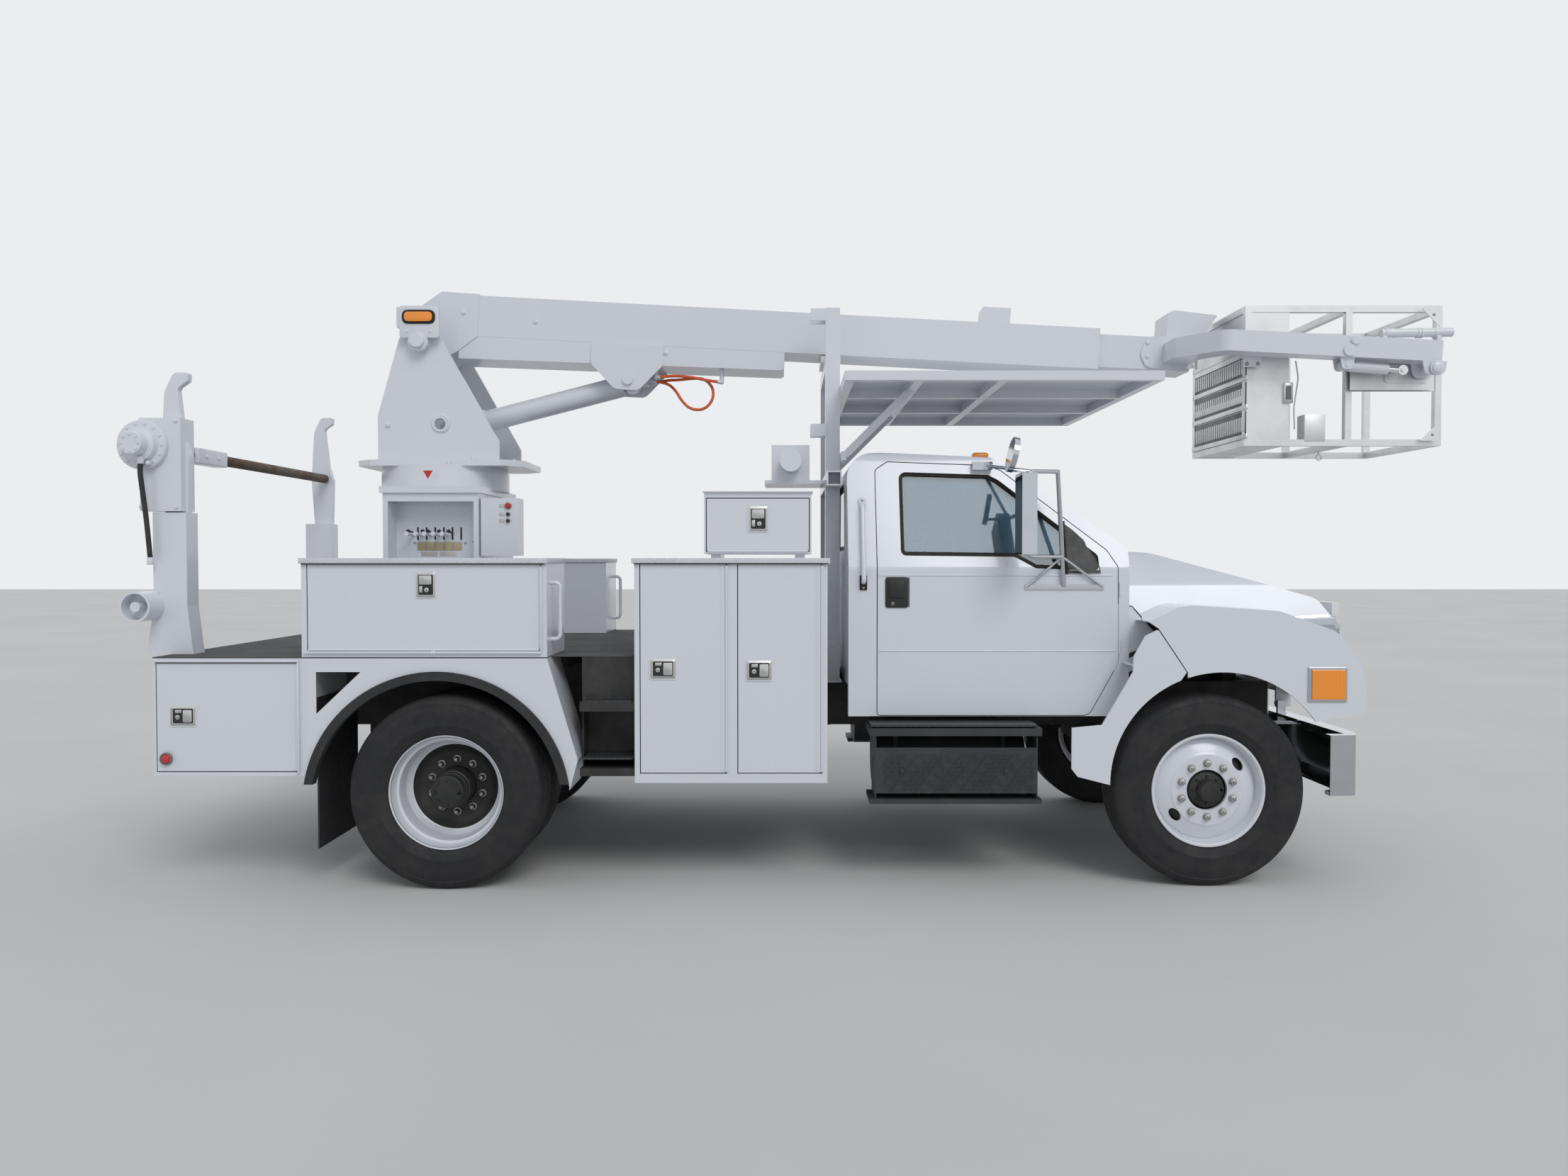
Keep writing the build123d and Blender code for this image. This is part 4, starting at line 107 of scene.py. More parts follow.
class Value:
    # a shader socket that can be used in sums
    def __init__(self, graph, socket):
        self.graph = graph
        self.socket = socket

    def maths(self, operation, first, second=None):
        values = {0: first} if second is None else {0: first, 1: second}
        return self.graph.node("ShaderNodeMath", {"operation": operation}, values)

    def __add__(self, other):
        return self.maths("ADD", self, other)

    def __sub__(self, other):
        return self.maths("SUBTRACT", self, other)

    def __rsub__(self, other):
        return self.maths("SUBTRACT", other, self)

    def __mul__(self, other):
        return self.maths("MULTIPLY", self, other)

    def __gt__(self, other):
        return self.maths("GREATER_THAN", self, other)

    def __lt__(self, other):
        return self.maths("LESS_THAN", self, other)

    def sine(self):
        return self.maths("SINE", self)

    def atMost(self, other):
        return self.maths("MINIMUM", self, other)

    def atLeast(self, other):
        return self.maths("MAXIMUM", self, other)


class Finish:
    # one material and the nodes that make it
    def __init__(self, name, **fixed):
        self.material = bpy.data.materials.new(name)
        self.material.use_nodes = True
        self.tree = self.material.node_tree
        self.shader = self.tree.nodes["Principled BSDF"]
        for socket, value in fixed.items():
            self.shader.inputs[socketNames[socket]].default_value = value

    def node(self, kind, settings=None, values=None, output=0):
        made = self.tree.nodes.new(kind)
        for key, value in (settings or {}).items():
            setattr(made, key, value)
        for key, value in (values or {}).items():
            self.feed(made.inputs[key], value)
        return Value(self, made.outputs[output])

    def feed(self, socket, value):
        if isinstance(value, Value):
            self.tree.links.new(value.socket, socket)
        else:
            socket.default_value = value

    def place(self):
        return self.node("ShaderNodeTexCoord", output="Object")

    def axis(self, letter):
        return self.node("ShaderNodeSeparateXYZ", {}, {0: self.place()}, output=letter)

    def noise(self, scale, detail=3.0, roughness=0.5, stretch=None):
        where = self.place()
        if stretch:
            where = self.node("ShaderNodeMapping", {}, {0: where, "Scale": stretch})
        values = {"Vector": where, "Scale": scale, "Detail": detail, "Roughness": roughness}
        return self.node("ShaderNodeTexNoise", {}, values)

    def ramp(self, value, low, high, start=0.0, end=1.0):
        # value from low to high becomes start to end, held at both ends
        values = {"Value": value, "From Min": low, "From Max": high, "To Min": start, "To Max": end}
        return self.node("ShaderNodeMapRange", {"clamp": True}, values)

    def cloudy(self, scale, detail, start=0.0, end=1.0):
        # slow patches between two values
        return self.ramp(self.noise(scale, detail), 0.3, 0.7, start, end)

    def mixed(self, share, first, second):
        first = first if isinstance(first, Value) else (*first, 1)
        second = second if isinstance(second, Value) else (*second, 1)
        return self.node("ShaderNodeMix", {"data_type": "RGBA"}, {0: share, 6: first, 7: second}, output=2)

    def bump(self, height, strength, depth):
        values = {"Height": height, "Strength": strength, "Distance": depth}
        return self.node("ShaderNodeBump", {}, values)

    def wear(self, **links):
        for socket, value in links.items():
            self.feed(self.shader.inputs[socketNames[socket]], value)
        return self.material


socketNames = {
    "colour": "Base Color",
    "roughness": "Roughness",
    "metal": "Metallic",
    "coat": "Coat Weight",
    "coatRoughness": "Coat Roughness",
    "alpha": "Alpha",
    "normal": "Normal",
    "transmission": "Transmission Weight",
    "index": "IOR",
    "glow": "Emission Color",
    "glowStrength": "Emission Strength",
    "specular": "Specular IOR Level",
}

# finishes
paintTones = {
    "white": (0.72, 0.745, 0.80),
    "boomWhite": (0.72, 0.74, 0.79),
    "dust": (0.52, 0.49, 0.44),
}


def whitePaint(name, tone, dirt, gloss):
    # sprayed enamel: faint orange peel, road film that thickens towards the floor, thin run marks
    finish = Finish(name, coatRoughness=0.12)
    film = finish.ramp(finish.axis("Z"), 0.45, 1.5, 1.0, 0.12)
    film *= finish.ramp(finish.noise(2.3, 6.0, 0.62), 0.38, 0.75)
    runs = finish.ramp(finish.noise(1.0, 4.0, 0.6, (14.0, 14.0, 0.9)), 0.62, 0.78) * 0.35
    soil = ((film * 0.5 + runs) * dirt).atMost(1.0)
    cloud = finish.cloudy(1.1, 2.0, 0.0, 0.25)
    base = finish.mixed(cloud, tone, tuple(channel * 0.965 for channel in tone))
    peel = finish.noise(420.0, 1.0) * 0.5 + finish.noise(38.0, 2.0) * 0.5
    return finish.wear(
        colour=finish.mixed(soil, base, paintTones["dust"]),
        roughness=finish.cloudy(3.1, 5.0, gloss, gloss + 0.1) + soil * 0.3,
        coat=0.55 - soil * 0.5,
        normal=finish.bump(peel, 0.06, 0.0006),
    )


def darkMetal(name, tone, dust, roughness, grain=60.0):
    # brushed-on chassis black under a coat of road dust
    finish = Finish(name)
    cover = finish.ramp(finish.noise(5.0, 8.0, 0.65), 0.42, 0.72, 0.0, dust)
    rust = finish.ramp(finish.noise(19.0, 6.0, 0.7), 0.64, 0.74, 0.0, dust * 0.9)
    base = finish.mixed(cover, tone, (0.20, 0.18, 0.155))
    return finish.wear(
        colour=finish.mixed(rust, base, (0.16, 0.085, 0.05)),
        roughness=finish.cloudy(11.0, 5.0, roughness, roughness + 0.2),
        normal=finish.bump(finish.noise(grain, 4.0), 0.25, 0.0012),
    )


def rubber(name, tone, dust, grain, depth):
    finish = Finish(name, specular=0.35)
    film = finish.ramp(finish.noise(7.0, 7.0, 0.6), 0.4, 0.75, 0.0, dust)
    return finish.wear(
        colour=finish.mixed(film, tone, (0.17, 0.155, 0.135)),
        roughness=finish.cloudy(23.0, 4.0, 0.58, 0.8),
        normal=finish.bump(finish.noise(grain, 3.0), 0.35, depth),
    )


def bareMetal(name, tone, roughness, stretch, grain=1.0, grime=0.35):
    # mill-finish or plated metal: long drawing marks, fingerprints and dull patches
    finish = Finish(name, metal=1.0)
    lines = finish.noise(70.0, 3.0, 0.6, stretch)
    patch = finish.ramp(finish.noise(6.0, 6.0, 0.6), 0.45, 0.75, 0.0, grime)
    base = finish.mixed(patch, tone, tuple(channel * 0.55 for channel in tone))
    return finish.wear(
        colour=base,
        roughness=finish.ramp(lines, 0.3, 0.7, roughness, roughness + 0.16 * grain) + patch * 0.25,
        normal=finish.bump(lines, 0.10 * grain, 0.0004),
    )


def gripPlate(name, tone):
    # aggregate in paint
    finish = Finish(name)
    grit = finish.noise(260.0, 2.0, 0.7) * 0.6 + finish.noise(700.0, 1.0) * 0.4
    worn = finish.ramp(finish.noise(3.0, 6.0, 0.6), 0.45, 0.7, 0.0, 0.6)
    return finish.wear(
        colour=finish.mixed(worn, tone, (0.15, 0.14, 0.13)),
        roughness=finish.ramp(grit, 0.3, 0.7, 0.75, 0.95),
        normal=finish.bump(grit, 0.9, 0.003),
    )


def plastic(name, tone, roughness, grain=900.0, strength=0.12):
    finish = Finish(name)
    return finish.wear(
        colour=finish.mixed(finish.cloudy(9.0, 4.0), tone, tuple(c * 0.8 for c in tone)),
        roughness=finish.cloudy(17.0, 3.0, roughness, roughness + 0.12),
        normal=finish.bump(finish.noise(grain, 1.0), strength, 0.0004),
    )


def clearGlass(name, tone, roughness=0.02):
    finish = Finish(name, transmission=1.0, index=1.45)
    smear = finish.ramp(finish.noise(4.0, 6.0, 0.65), 0.5, 0.8, 0.0, 0.06)
    return finish.wear(colour=(*tone, 1), roughness=smear + roughness)


def lens(name, tone, glow):
    # moulded lamp lens with fine upright flutes
    finish = Finish(name, glow=(*tone, 1), glowStrength=glow, index=1.49)
    flutes = (finish.axis("X") * 900.0).sine()
    return finish.wear(
        colour=finish.mixed(finish.ramp(flutes, -1.0, 1.0), tone, tuple(c * 0.72 for c in tone)),
        roughness=finish.cloudy(12.0, 3.0, 0.1, 0.2),
        coat=0.6,
        normal=finish.bump(flutes, 0.2, 0.0008),
    )


paint = {
    "body": whitePaint("bodyEnamel", paintTones["white"], 0.22, 0.24),
    "cab": whitePaint("cabEnamel", paintTones["white"], 0.16, 0.16),
    "boom": whitePaint("boomEnamel", paintTones["boomWhite"], 0.2, 0.3),
    "wheel": whitePaint("wheelEnamel", paintTones["boomWhite"], 0.2, 0.3),
    "chassis": darkMetal("chassisBlack", (0.022, 0.022, 0.023), 0.16, 0.55),
    "step": darkMetal("stepBlack", (0.03, 0.032, 0.036), 0.12, 0.5),
    "hub": darkMetal("hubBlack", (0.014, 0.014, 0.014), 0.1, 0.45),
    "tyre": rubber("tyreRubber", (0.018, 0.018, 0.020), 0.10, 240.0, 0.0012),
    "flap": rubber("flapRubber", (0.028, 0.029, 0.032), 0.12, 120.0, 0.0015),
    "seal": rubber("sealRubber", (0.012, 0.012, 0.012), 0.1, 500.0, 0.0004),
    "deck": gripPlate("gripDeck", (0.060, 0.062, 0.070)),
    "aluminium": bareMetal("millAluminium", (0.72, 0.73, 0.74), 0.36, (1.0, 30.0, 30.0), 0.8, 0.3),
    "stainless": bareMetal("stainless", (0.60, 0.60, 0.59), 0.2, (1.0, 20.0, 20.0), 0.7, 0.2),
    "chrome": bareMetal("chromePlate", (0.56, 0.58, 0.61), 0.05, (4.0, 4.0, 4.0), 0.2, 0.12),
    "rod": bareMetal("rodChrome", (0.78, 0.78, 0.79), 0.08, (1.0, 40.0, 40.0), 0.3, 0.1),
    "rust": darkMetal("rustySteel", (0.10, 0.055, 0.035), 0.8, 0.7, 130.0),
    "steel": bareMetal("wornSteel", (0.36, 0.35, 0.33), 0.4, (20.0, 1.0, 20.0), 1.0, 0.5),
    "glass": clearGlass("cabGlass", (0.30, 0.40, 0.46)),
    "lampGlass": clearGlass("lampGlass", (0.93, 0.95, 0.96), 0.03),
    "amber": lens("amberLens", (0.95, 0.30, 0.02), 0.12),
    "red": lens("redLens", (0.62, 0.02, 0.02), 0.08),
    "black": plastic("blackPlastic", (0.018, 0.018, 0.019), 0.4),
    "grey": plastic("greyPlastic", (0.20, 0.20, 0.21), 0.5),
    "redKnob": plastic("redKnob", (0.60, 0.03, 0.02), 0.3),
    "yellow": plastic("yellowPlate", (0.55, 0.48, 0.30), 0.4),
}
print(len(paint), "finishes ready")

# hoses: the same points as their solids, by station, across and height
hose = {"diameter": 0.018, "segments": 10, "loopLength": 0.91, "feedLength": 0.355}
loopRoute = [
    (0.985, -0.030, 2.846), (1.048, -0.036, 2.838), (1.102, -0.046, 2.792), (1.142, -0.056, 2.722),
    (1.197, -0.066, 2.669), (1.280, -0.072, 2.665), (1.338, -0.070, 2.725), (1.338, -0.060, 2.806),
    (1.280, -0.046, 2.865), (1.197, -0.028, 2.866), (1.118, -0.008, 2.860), (1.044, 0.012, 2.862),
    (0.985, 0.028, 2.850),
]
feedRoute = [
    (1.014, -0.112, 2.862), (1.078, -0.115, 2.868), (1.152, -0.115, 2.867), (1.226, -0.112, 2.858),
    (1.300, -0.108, 2.842), (1.368, -0.104, 2.834),
]


def hoseCover():
    # extruded cover with a faint spiral lay
    finish = Finish("hoseCover")
    lay = ((finish.axis("X") + finish.axis("Z")) * 1500.0).sine()
    worn = finish.ramp(finish.noise(30.0, 5.0, 0.6), 0.45, 0.7, 0.0, 0.5)
    return finish.wear(
        colour=finish.mixed(worn, (0.78, 0.13, 0.03), (0.50, 0.10, 0.04)),
        roughness=finish.cloudy(60.0, 3.0, 0.42, 0.6),
        normal=finish.bump(lay, 0.25, 0.0006),
    )


paint["hose"] = hoseCover()


def layHose(name, route, node, body):
    curve = bpy.data.curves.new(name, "CURVE")
    curve.dimensions = "3D"
    spline = curve.splines.new("NURBS")
    spline.points.add(len(route) - 1)
    for point, spot in zip(spline.points, route):
        point.co = (*at(*spot), 1)
    spline.order_u = 3
    spline.use_endpoint_u = True
    curve.bevel_depth = hose["diameter"] / 2
    curve.bevel_resolution = hose["segments"] // 2
    curve.resolution_u = hose["segments"]
    curve.materials.append(paint["hose"])
    laid = bpy.data.objects.new(name, curve)
    bpy.context.scene.collection.objects.link(laid)
    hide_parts(node)
    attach(laid, body)
    at(*route[0])
    return laid


layHose("cylinderHose", loopRoute, "hose_loop", "lift_barrel_body")
layHose("feedHose", feedRoute, "hose_feed", "boom")
print("hoses laid")

# floor, world and lamps
stageLook = {
    "floor": 120.0,
    "floorTones": ((0.62, 0.62, 0.61), (0.66, 0.66, 0.65)),
    "worldLight": 0.58,
    "worldTone": (0.93, 0.96, 1.0, 1),
    "paleSky": (0.83, 0.85, 0.87),
    "sun": 0.95,
    "sunAngle": 28.0,
    "sunTilt": (48, 0, 24),
}
bpy.ops.mesh.primitive_plane_add(size=stageLook["floor"], location=(0, 0, 0))
floor = bpy.context.object
floor.name = "studioFloor"
ground = Finish("paleFloor")
ground.wear(
    colour=ground.mixed(ground.cloudy(0.35, 4.0), stageLook["floorTones"][0], stageLook["floorTones"][1]),
    roughness=ground.cloudy(3.0, 5.0, 0.85, 0.95),
)
floor.data.materials.append(ground.material)
world = bpy.data.worlds.new("studio")
world.use_nodes = True
bpy.context.scene.world = world
sky = world.node_tree


def larger(first, second):
    # the larger of two values of the sky's nodes
    made = sky.nodes.new("ShaderNodeMath")
    made.operation = "MAXIMUM"
    sky.links.new(first, made.inputs[0])
    sky.links.new(second, made.inputs[1])
    return made.outputs[0]


# the camera, mirrors and glass see a pale sky, and the rest gets a dimmer light
rays = sky.nodes.new("ShaderNodeLightPath").outputs
seen = larger(rays["Is Camera Ray"], larger(rays["Is Glossy Ray"], rays["Is Transmission Ray"]))
blend = sky.nodes.new("ShaderNodeMixShader")
dim = sky.nodes["Background"]
dim.inputs["Color"].default_value = stageLook["worldTone"]
dim.inputs["Strength"].default_value = stageLook["worldLight"]
pale = sky.nodes.new("ShaderNodeBackground")
pale.inputs["Color"].default_value = (*stageLook["paleSky"], 1)
for socket, source in zip(blend.inputs, (seen, dim.outputs[0], pale.outputs[0])):
    sky.links.new(source, socket)
sky.links.new(blend.outputs[0], sky.nodes["World Output"].inputs["Surface"])
sunTurn = [math.radians(degrees) for degrees in stageLook["sunTilt"]]
bpy.ops.object.light_add(type="SUN", location=(2, -8, 12), rotation=sunTurn)
sun = bpy.context.object
sun.data.energy = stageLook["sun"]
sun.data.angle = math.radians(stageLook["sunAngle"])
print("floor and light ready")

# what each solid of the frame is made of, with * for right and left
nodeFinish = {
    "body": "side_body_* tall_cabinet_* cabinet_front_door_* cabinet_rear_door_* rear_bin_door_* "
    "wheel_bin_door_* top_bin_door pedestal reel_stands boom_rest",
    "cab": "cab_shell door_right door_left hood",
    "boom": "turntable boom_base boom_tip platform_arm lift_barrel level_barrel cab_guard",
    "chassis": "chassis_frame driveline front_axle rear_axle knuckle_right knuckle_left body_steps",
    "step": "side_steps",
    "flap": "arch_rubbers",
    "deck": "service_deck",
    "aluminium": "basket",
    "chrome": "front_bumper mirror_right mirror_left",
    "rod": "lift_rod level_rod",
    "glass": "cab_glass door_glass_right door_glass_left",
    "black": "grille",
}


def cover(name, look):
    nodes[name].data.materials.clear()
    nodes[name].data.materials.append(look)


for finish, names in nodeFinish.items():
    for name in names.split():
        for sideName in {name.replace("*", hand) for _, hand, _ in hands}:
            cover(sideName, paint[finish])


def splitByHeight(name, height, below, above, roughness):
    # one clear colour above a height and another below it
    finish = Finish(name, coat=0.8)
    flutes = (finish.axis("Y") * 420.0).sine()
    low = finish.axis("Z") < height
    return finish.wear(
        colour=finish.mixed(low, above, below),
        roughness=finish.cloudy(14.0, 3.0, roughness, roughness + 0.08),
        normal=finish.bump(flutes, 0.15, 0.0006),
    )


def inCab():
    # dash in black plastic, seats in blue cloth
    finish = Finish("cabTrim")
    across, up = ((finish.axis(letter) * 1800.0).sine() for letter in "YZ")
    cloth = across * up
    ahead = finish.axis("X") > station(3.10)
    weaveTone = finish.mixed(finish.ramp(cloth, -1.0, 1.0), (0.10, 0.14, 0.24), (0.05, 0.07, 0.13))
    return finish.wear(
        colour=finish.mixed(ahead, weaveTone, (0.02, 0.02, 0.022)),
        roughness=finish.cloudy(40.0, 2.0, 0.6, 0.85),
        normal=finish.bump(cloth, 0.3, 0.0006),
    )


cover("front_lamps", splitByHeight("lampLens", 1.186, (0.95, 0.30, 0.02), (0.80, 0.82, 0.84), 0.06))
cover("cab_interior", inCab())
print("frame finished")

# pieces: small helpers round the operators
def fresh(*chosen):
    # these alone are selected, and the first is active
    bpy.ops.object.select_all(action="DESELECT")
    for obj in chosen:
        obj.select_set(True)
    if chosen:
        bpy.context.view_layer.objects.active = chosen[0]


def settled():
    bpy.ops.object.transform_apply(location=True, rotation=True, scale=True)
    return bpy.context.object


def openMesh(obj, everything=True):
    fresh(obj)
    bpy.ops.object.mode_set(mode="EDIT")
    bpy.ops.mesh.select_mode(type="VERT")
    if everything:
        bpy.ops.mesh.select_all(action="SELECT")


def closeMesh():
    bpy.ops.object.mode_set(mode="OBJECT")


def unselect(mesh):
    for part in (mesh.vertices, mesh.edges, mesh.polygons):
        part.foreach_set("select", [False] * len(part))


def pick(obj, test):
    # selects the faces that pass a test on their centre and normal
    if bpy.context.mode != "OBJECT":
        closeMesh()
    fresh(obj)
    mesh = obj.data
    unselect(mesh)
    for face in mesh.polygons:
        face.select = test(face.center, face.normal)
    bpy.context.tool_settings.mesh_select_mode = (False, False, True)
    bpy.ops.object.mode_set(mode="EDIT")


def block(low, high, soft=0.003, segments=2):
    # a block between two corners with its edges eased
    fresh()
    bpy.ops.mesh.primitive_cube_add(size=1, location=[(a + b) / 2 for a, b in zip(low, high)])
    bpy.context.object.scale = [abs(b - a) for a, b in zip(low, high)]
    made = settled()
    if soft:
        openMesh(made)
        bpy.ops.mesh.bevel(offset=soft, segments=segments, affect="EDGES")
        closeMesh()
    return made


def applied(obj, kind, **settings):
    # a modifier set and applied
    fresh(obj)
    added = obj.modifiers.new(kind.lower(), kind)
    for key, value in settings.items():
        setattr(added, key, value)
    bpy.ops.object.modifier_apply(modifier=added.name)
    return obj


def ease(obj, width):
    # bevels its sharp edges
    return applied(obj, "BEVEL", width=width, segments=2, limit_method="ANGLE", angle_limit=0.6)


def pole(start, end, radius, sides=24, soft=0.0, tip=None):
    # a round bar or, with a tip radius, a cone between two points
    fresh()
    start, end = Vector(start), Vector(end)
    bpy.ops.mesh.primitive_cone_add(
        vertices=sides,
        radius1=radius,
        radius2=radius if tip is None else tip,
        depth=(end - start).length,
        location=(start + end) / 2,
        rotation=(end - start).to_track_quat("Z", "Y").to_euler(),
    )
    made = settled()
    return ease(made, soft) if soft else made


def peg(x, y, z, start, end, radius, sides=24, soft=0.001):
    # a round piece that lies across the truck
    return pole((x, y + start, z), (x, y + end, z), radius, sides, soft)


def trace(points):
    # one vertex drawn out from point to point
    fresh()
    bpy.ops.mesh.primitive_plane_add(size=0.01, location=points[0])
    made = settled()
    openMesh(made)
    bpy.ops.mesh.merge(type="CENTER")
    for here, there in zip(points, points[1:]):
        step = [b - a for a, b in zip(here, there)]
        bpy.ops.mesh.extrude_vertices_move(TRANSFORM_OT_translate={"value": step})
    closeMesh()
    return made


def rounded(points, reach, closed=False, steps=6):
    # the same runs with each corner turned into a short curve
    points = [Vector(point) for point in points]
    out = []
    count = len(points)
    for index, here in enumerate(points):
        if not closed and index in (0, count - 1):
            out.append(here)
            continue
        back, ahead = points[index - 1] - here, points[(index + 1) % count] - here
        cut = min(reach, back.length * 0.45, ahead.length * 0.45)
        start, end = here + back.normalized() * cut, here + ahead.normalized() * cut
        for step in range(steps + 1):
            t = step / steps
            out.append(start * (1 - t) ** 2 + here * 2 * t * (1 - t) + end * t * t)
    return out


def pipe(points, radius, closed=False, sides=4, corner=0.0):
    # a bar bent along straight runs
    run = rounded(points, corner, closed) if corner else [Vector(point) for point in points]
    path = bpy.data.curves.new("bar", "CURVE")
    path.dimensions = "3D"
    line = path.splines.new("POLY")
    line.points.add(len(run) - 1)
    for point, spot in zip(line.points, run):
        point.co = (*spot, 1)
    line.use_cyclic_u = closed
    path.bevel_depth = radius
    path.bevel_resolution = sides
    path.use_fill_caps = not closed
    made = bpy.data.objects.new("bar", path)
    bpy.context.scene.collection.objects.link(made)
    fresh(made)
    bpy.ops.object.convert(target="MESH")
    return bpy.context.object


def thicken(made, move):
    # fills a closed run of edges and draws the face out
    openMesh(made)
    bpy.ops.mesh.edge_face_add()
    bpy.ops.mesh.extrude_region_move(TRANSFORM_OT_translate={"value": move})
    bpy.ops.mesh.select_all(action="SELECT")
    bpy.ops.mesh.normals_make_consistent(inside=False)
    closeMesh()
    return made


def plate(points, near, far, corner=0.0, soft=0.0):
    # an outline in the side view given a thickness
    flat = [Vector((x, near, z)) for x, z in points]
    made = thicken(trace(rounded(flat, corner, closed=True) if corner else flat), (0, far - near, 0))
    return ease(made, soft) if soft else made


def stadium(x, z, long, high, y0, y1, corner, soft=0.002):
    # a round-cornered plate seen from the side
    a, b = long / 2, high / 2
    corners = [(x - a, z - b), (x + a, z - b), (x + a, z + b), (x - a, z + b)]
    return plate(corners, y0, y1, corner=corner, soft=soft)


def turned(profile, centre, side=1, segments=64):
    # a closed profile of (radius, distance out) spun about an axle through a centre
    centre, along, out = Vector(centre), Vector((0, side, 0)), Vector((0, 0, 1))
    rows = [centre + along * reach + out * radius for radius, reach in profile]
    made = trace(rows + rows[:1])
    openMesh(made)
    bpy.ops.mesh.spin(steps=segments, angle=math.tau, center=centre, axis=along)
    bpy.ops.mesh.select_all(action="SELECT")
    bpy.ops.mesh.remove_doubles(threshold=0.00004)
    bpy.ops.mesh.normals_make_consistent(inside=False)
    closeMesh()
    return made


def cut(obj, cutter):
    applied(obj, "BOOLEAN", operation="DIFFERENCE", solver="EXACT", object=cutter)
    bpy.data.objects.remove(cutter)
    return obj


def again(obj, move=(0, 0, 0), turn=0.0, about=(0, 0, 0), axis="Y"):
    # a copy with its own mesh, turned about a point and moved
    fresh(obj)
    bpy.ops.object.duplicate()
    made = bpy.context.object
    about = Vector(about)
    spot = Matrix.Rotation(turn, 4, axis)
    made.matrix_world = Matrix.Translation(about + Vector(move)) @ spot @ Matrix.Translation(-about)
    return settled()


def ring(centre, count, item, axis="Y", start=0.0):
    # the first item and its copies, evenly round a centre
    return [again(item, turn=start + math.tau * n / count, about=centre, axis=axis) for n in range(count)]


def touch(node, start, toward):
    # where a straight line from a point meets a solid of the frame
    found, spot, _, _ = nodes[node].ray_cast(Vector(start), Vector(toward).normalized())
    return spot if found else Vector(start)


def onSide(node, x, z, side):
    return touch(node, (x, side * 1.6, z), (0, -side, 0)).y


def onSides(names, x, z, side):
    # the outermost of several solids
    hits = [onSide(name, x, z, side) for name in names]
    hits = [y for y in hits if abs(y) < 1.5]
    return max(hits, key=lambda y: side * y) if hits else side * 1.0


def crest(node, x, z, side, reach=0.07):
    # how far out a solid stands round a spot
    spots = [(a * reach, b * reach) for a in (-1, -0.5, 0, 0.5, 1) for b in (-1, 0, 1)]
    tries = [onSide(node, x + a, z + b, side) for a, b in spots]
    tries = [y for y in tries if abs(y) < 1.5]
    return max(tries, key=lambda y: side * y)


def rimOf(node, facing, width, thick=0.006):
    # a ring round the edge of a solid's face
    mesh = nodes[node].data.copy()
    made = bpy.data.objects.new("rim", mesh)
    bpy.context.scene.collection.objects.link(made)
    facing = Vector(facing).normalized()
    openMesh(made)
    bpy.ops.mesh.remove_doubles(threshold=0.0001)
    pick(made, lambda centre, normal: normal.dot(facing) < 0.7)
    bpy.ops.mesh.delete(type="FACE")
    bpy.ops.mesh.select_all(action="SELECT")
    bpy.ops.mesh.dissolve_limited(angle_limit=0.03)
    bpy.ops.mesh.select_all(action="SELECT")
    bpy.ops.mesh.inset(thickness=width)
    bpy.ops.mesh.delete(type="FACE")
    closeMesh()
    return applied(made, "SOLIDIFY", thickness=thick * 2, offset=0)


def wrapOn(node, centre, toward, wide, tall, lift, thick):
    # a panel pressed flat onto a solid from one direction
    fresh()
    centre, toward = Vector(centre), Vector(toward).normalized()
    bpy.ops.mesh.primitive_grid_add(x_subdivisions=28, y_subdivisions=20, size=1)
    made = bpy.context.object
    made.scale = (wide, tall, 1)
    bpy.ops.object.transform_apply(location=False, rotation=False, scale=True)
    made.rotation_euler = toward.to_track_quat("Z", "Y").to_euler()
    made.location = centre + toward * 0.4
    bpy.context.view_layer.update()
    applied(
        made,
        "SHRINKWRAP",
        target=nodes[node],
        wrap_method="PROJECT",
        use_project_z=True,
        use_positive_direction=False,
        use_negative_direction=True,
        offset=lift,
    )
    settled()
    unselect(made.data)
    for vertex in made.data.vertices:
        vertex.select = (vertex.co - centre).dot(toward) > 0.3
    openMesh(made, False)
    bpy.ops.mesh.delete(type="VERT")
    closeMesh()
    return ease(applied(made, "SOLIDIFY", thickness=thick, offset=0), thick * 0.3)


def assemble(name, parts, body, replaces=(), smooth=35):
    # parts are (mesh, finish) pairs, joined into one named piece that rides on a body
    for obj, finish in parts:
        obj.data.materials.clear()
        obj.data.materials.append(paint[finish] if isinstance(finish, str) else finish)
    fresh(*[obj for obj, _ in parts])
    if len(parts) > 1:
        bpy.ops.object.join()
    made = bpy.context.view_layer.objects.active
    made.name = name
    made.data.name = name
    bpy.ops.object.shade_smooth_by_angle(angle=math.radians(smooth))
    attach(made, body)
    if replaces:
        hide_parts(*replaces)
    return made


def both(build):
    # runs a piece's code for the right and the left side
    for title, hand, side in hands:
        build(title, hand, side)


# tyres: ribbed tread, rounded shoulders, rim strips on the side walls
tyreSizes = {
    "radius": 0.511,
    "halfWidth": 0.131,
    "crownDrop": 0.0006,
    "grooves": (-0.060, -0.020, 0.020, 0.060),
    "grooveHalf": 0.0045,
    "grooveDepth": 0.010,
    "segments": 112,
}
# radius and distance across, from the bead out to the tread's edge
tyreWall = [
    (0.2925, -0.102), (0.303, -0.1025), (0.312, -0.113), (0.330, -0.1215), (0.352, -0.127),
    (0.356, -0.1295), (0.362, -0.1295), (0.366, -0.1285), (0.405, -0.131), (0.440, -0.1295),
    (0.468, -0.125), (0.471, -0.1265), (0.476, -0.1255), (0.492, -0.119), (0.502, -0.110), (0.508, -0.097),
]


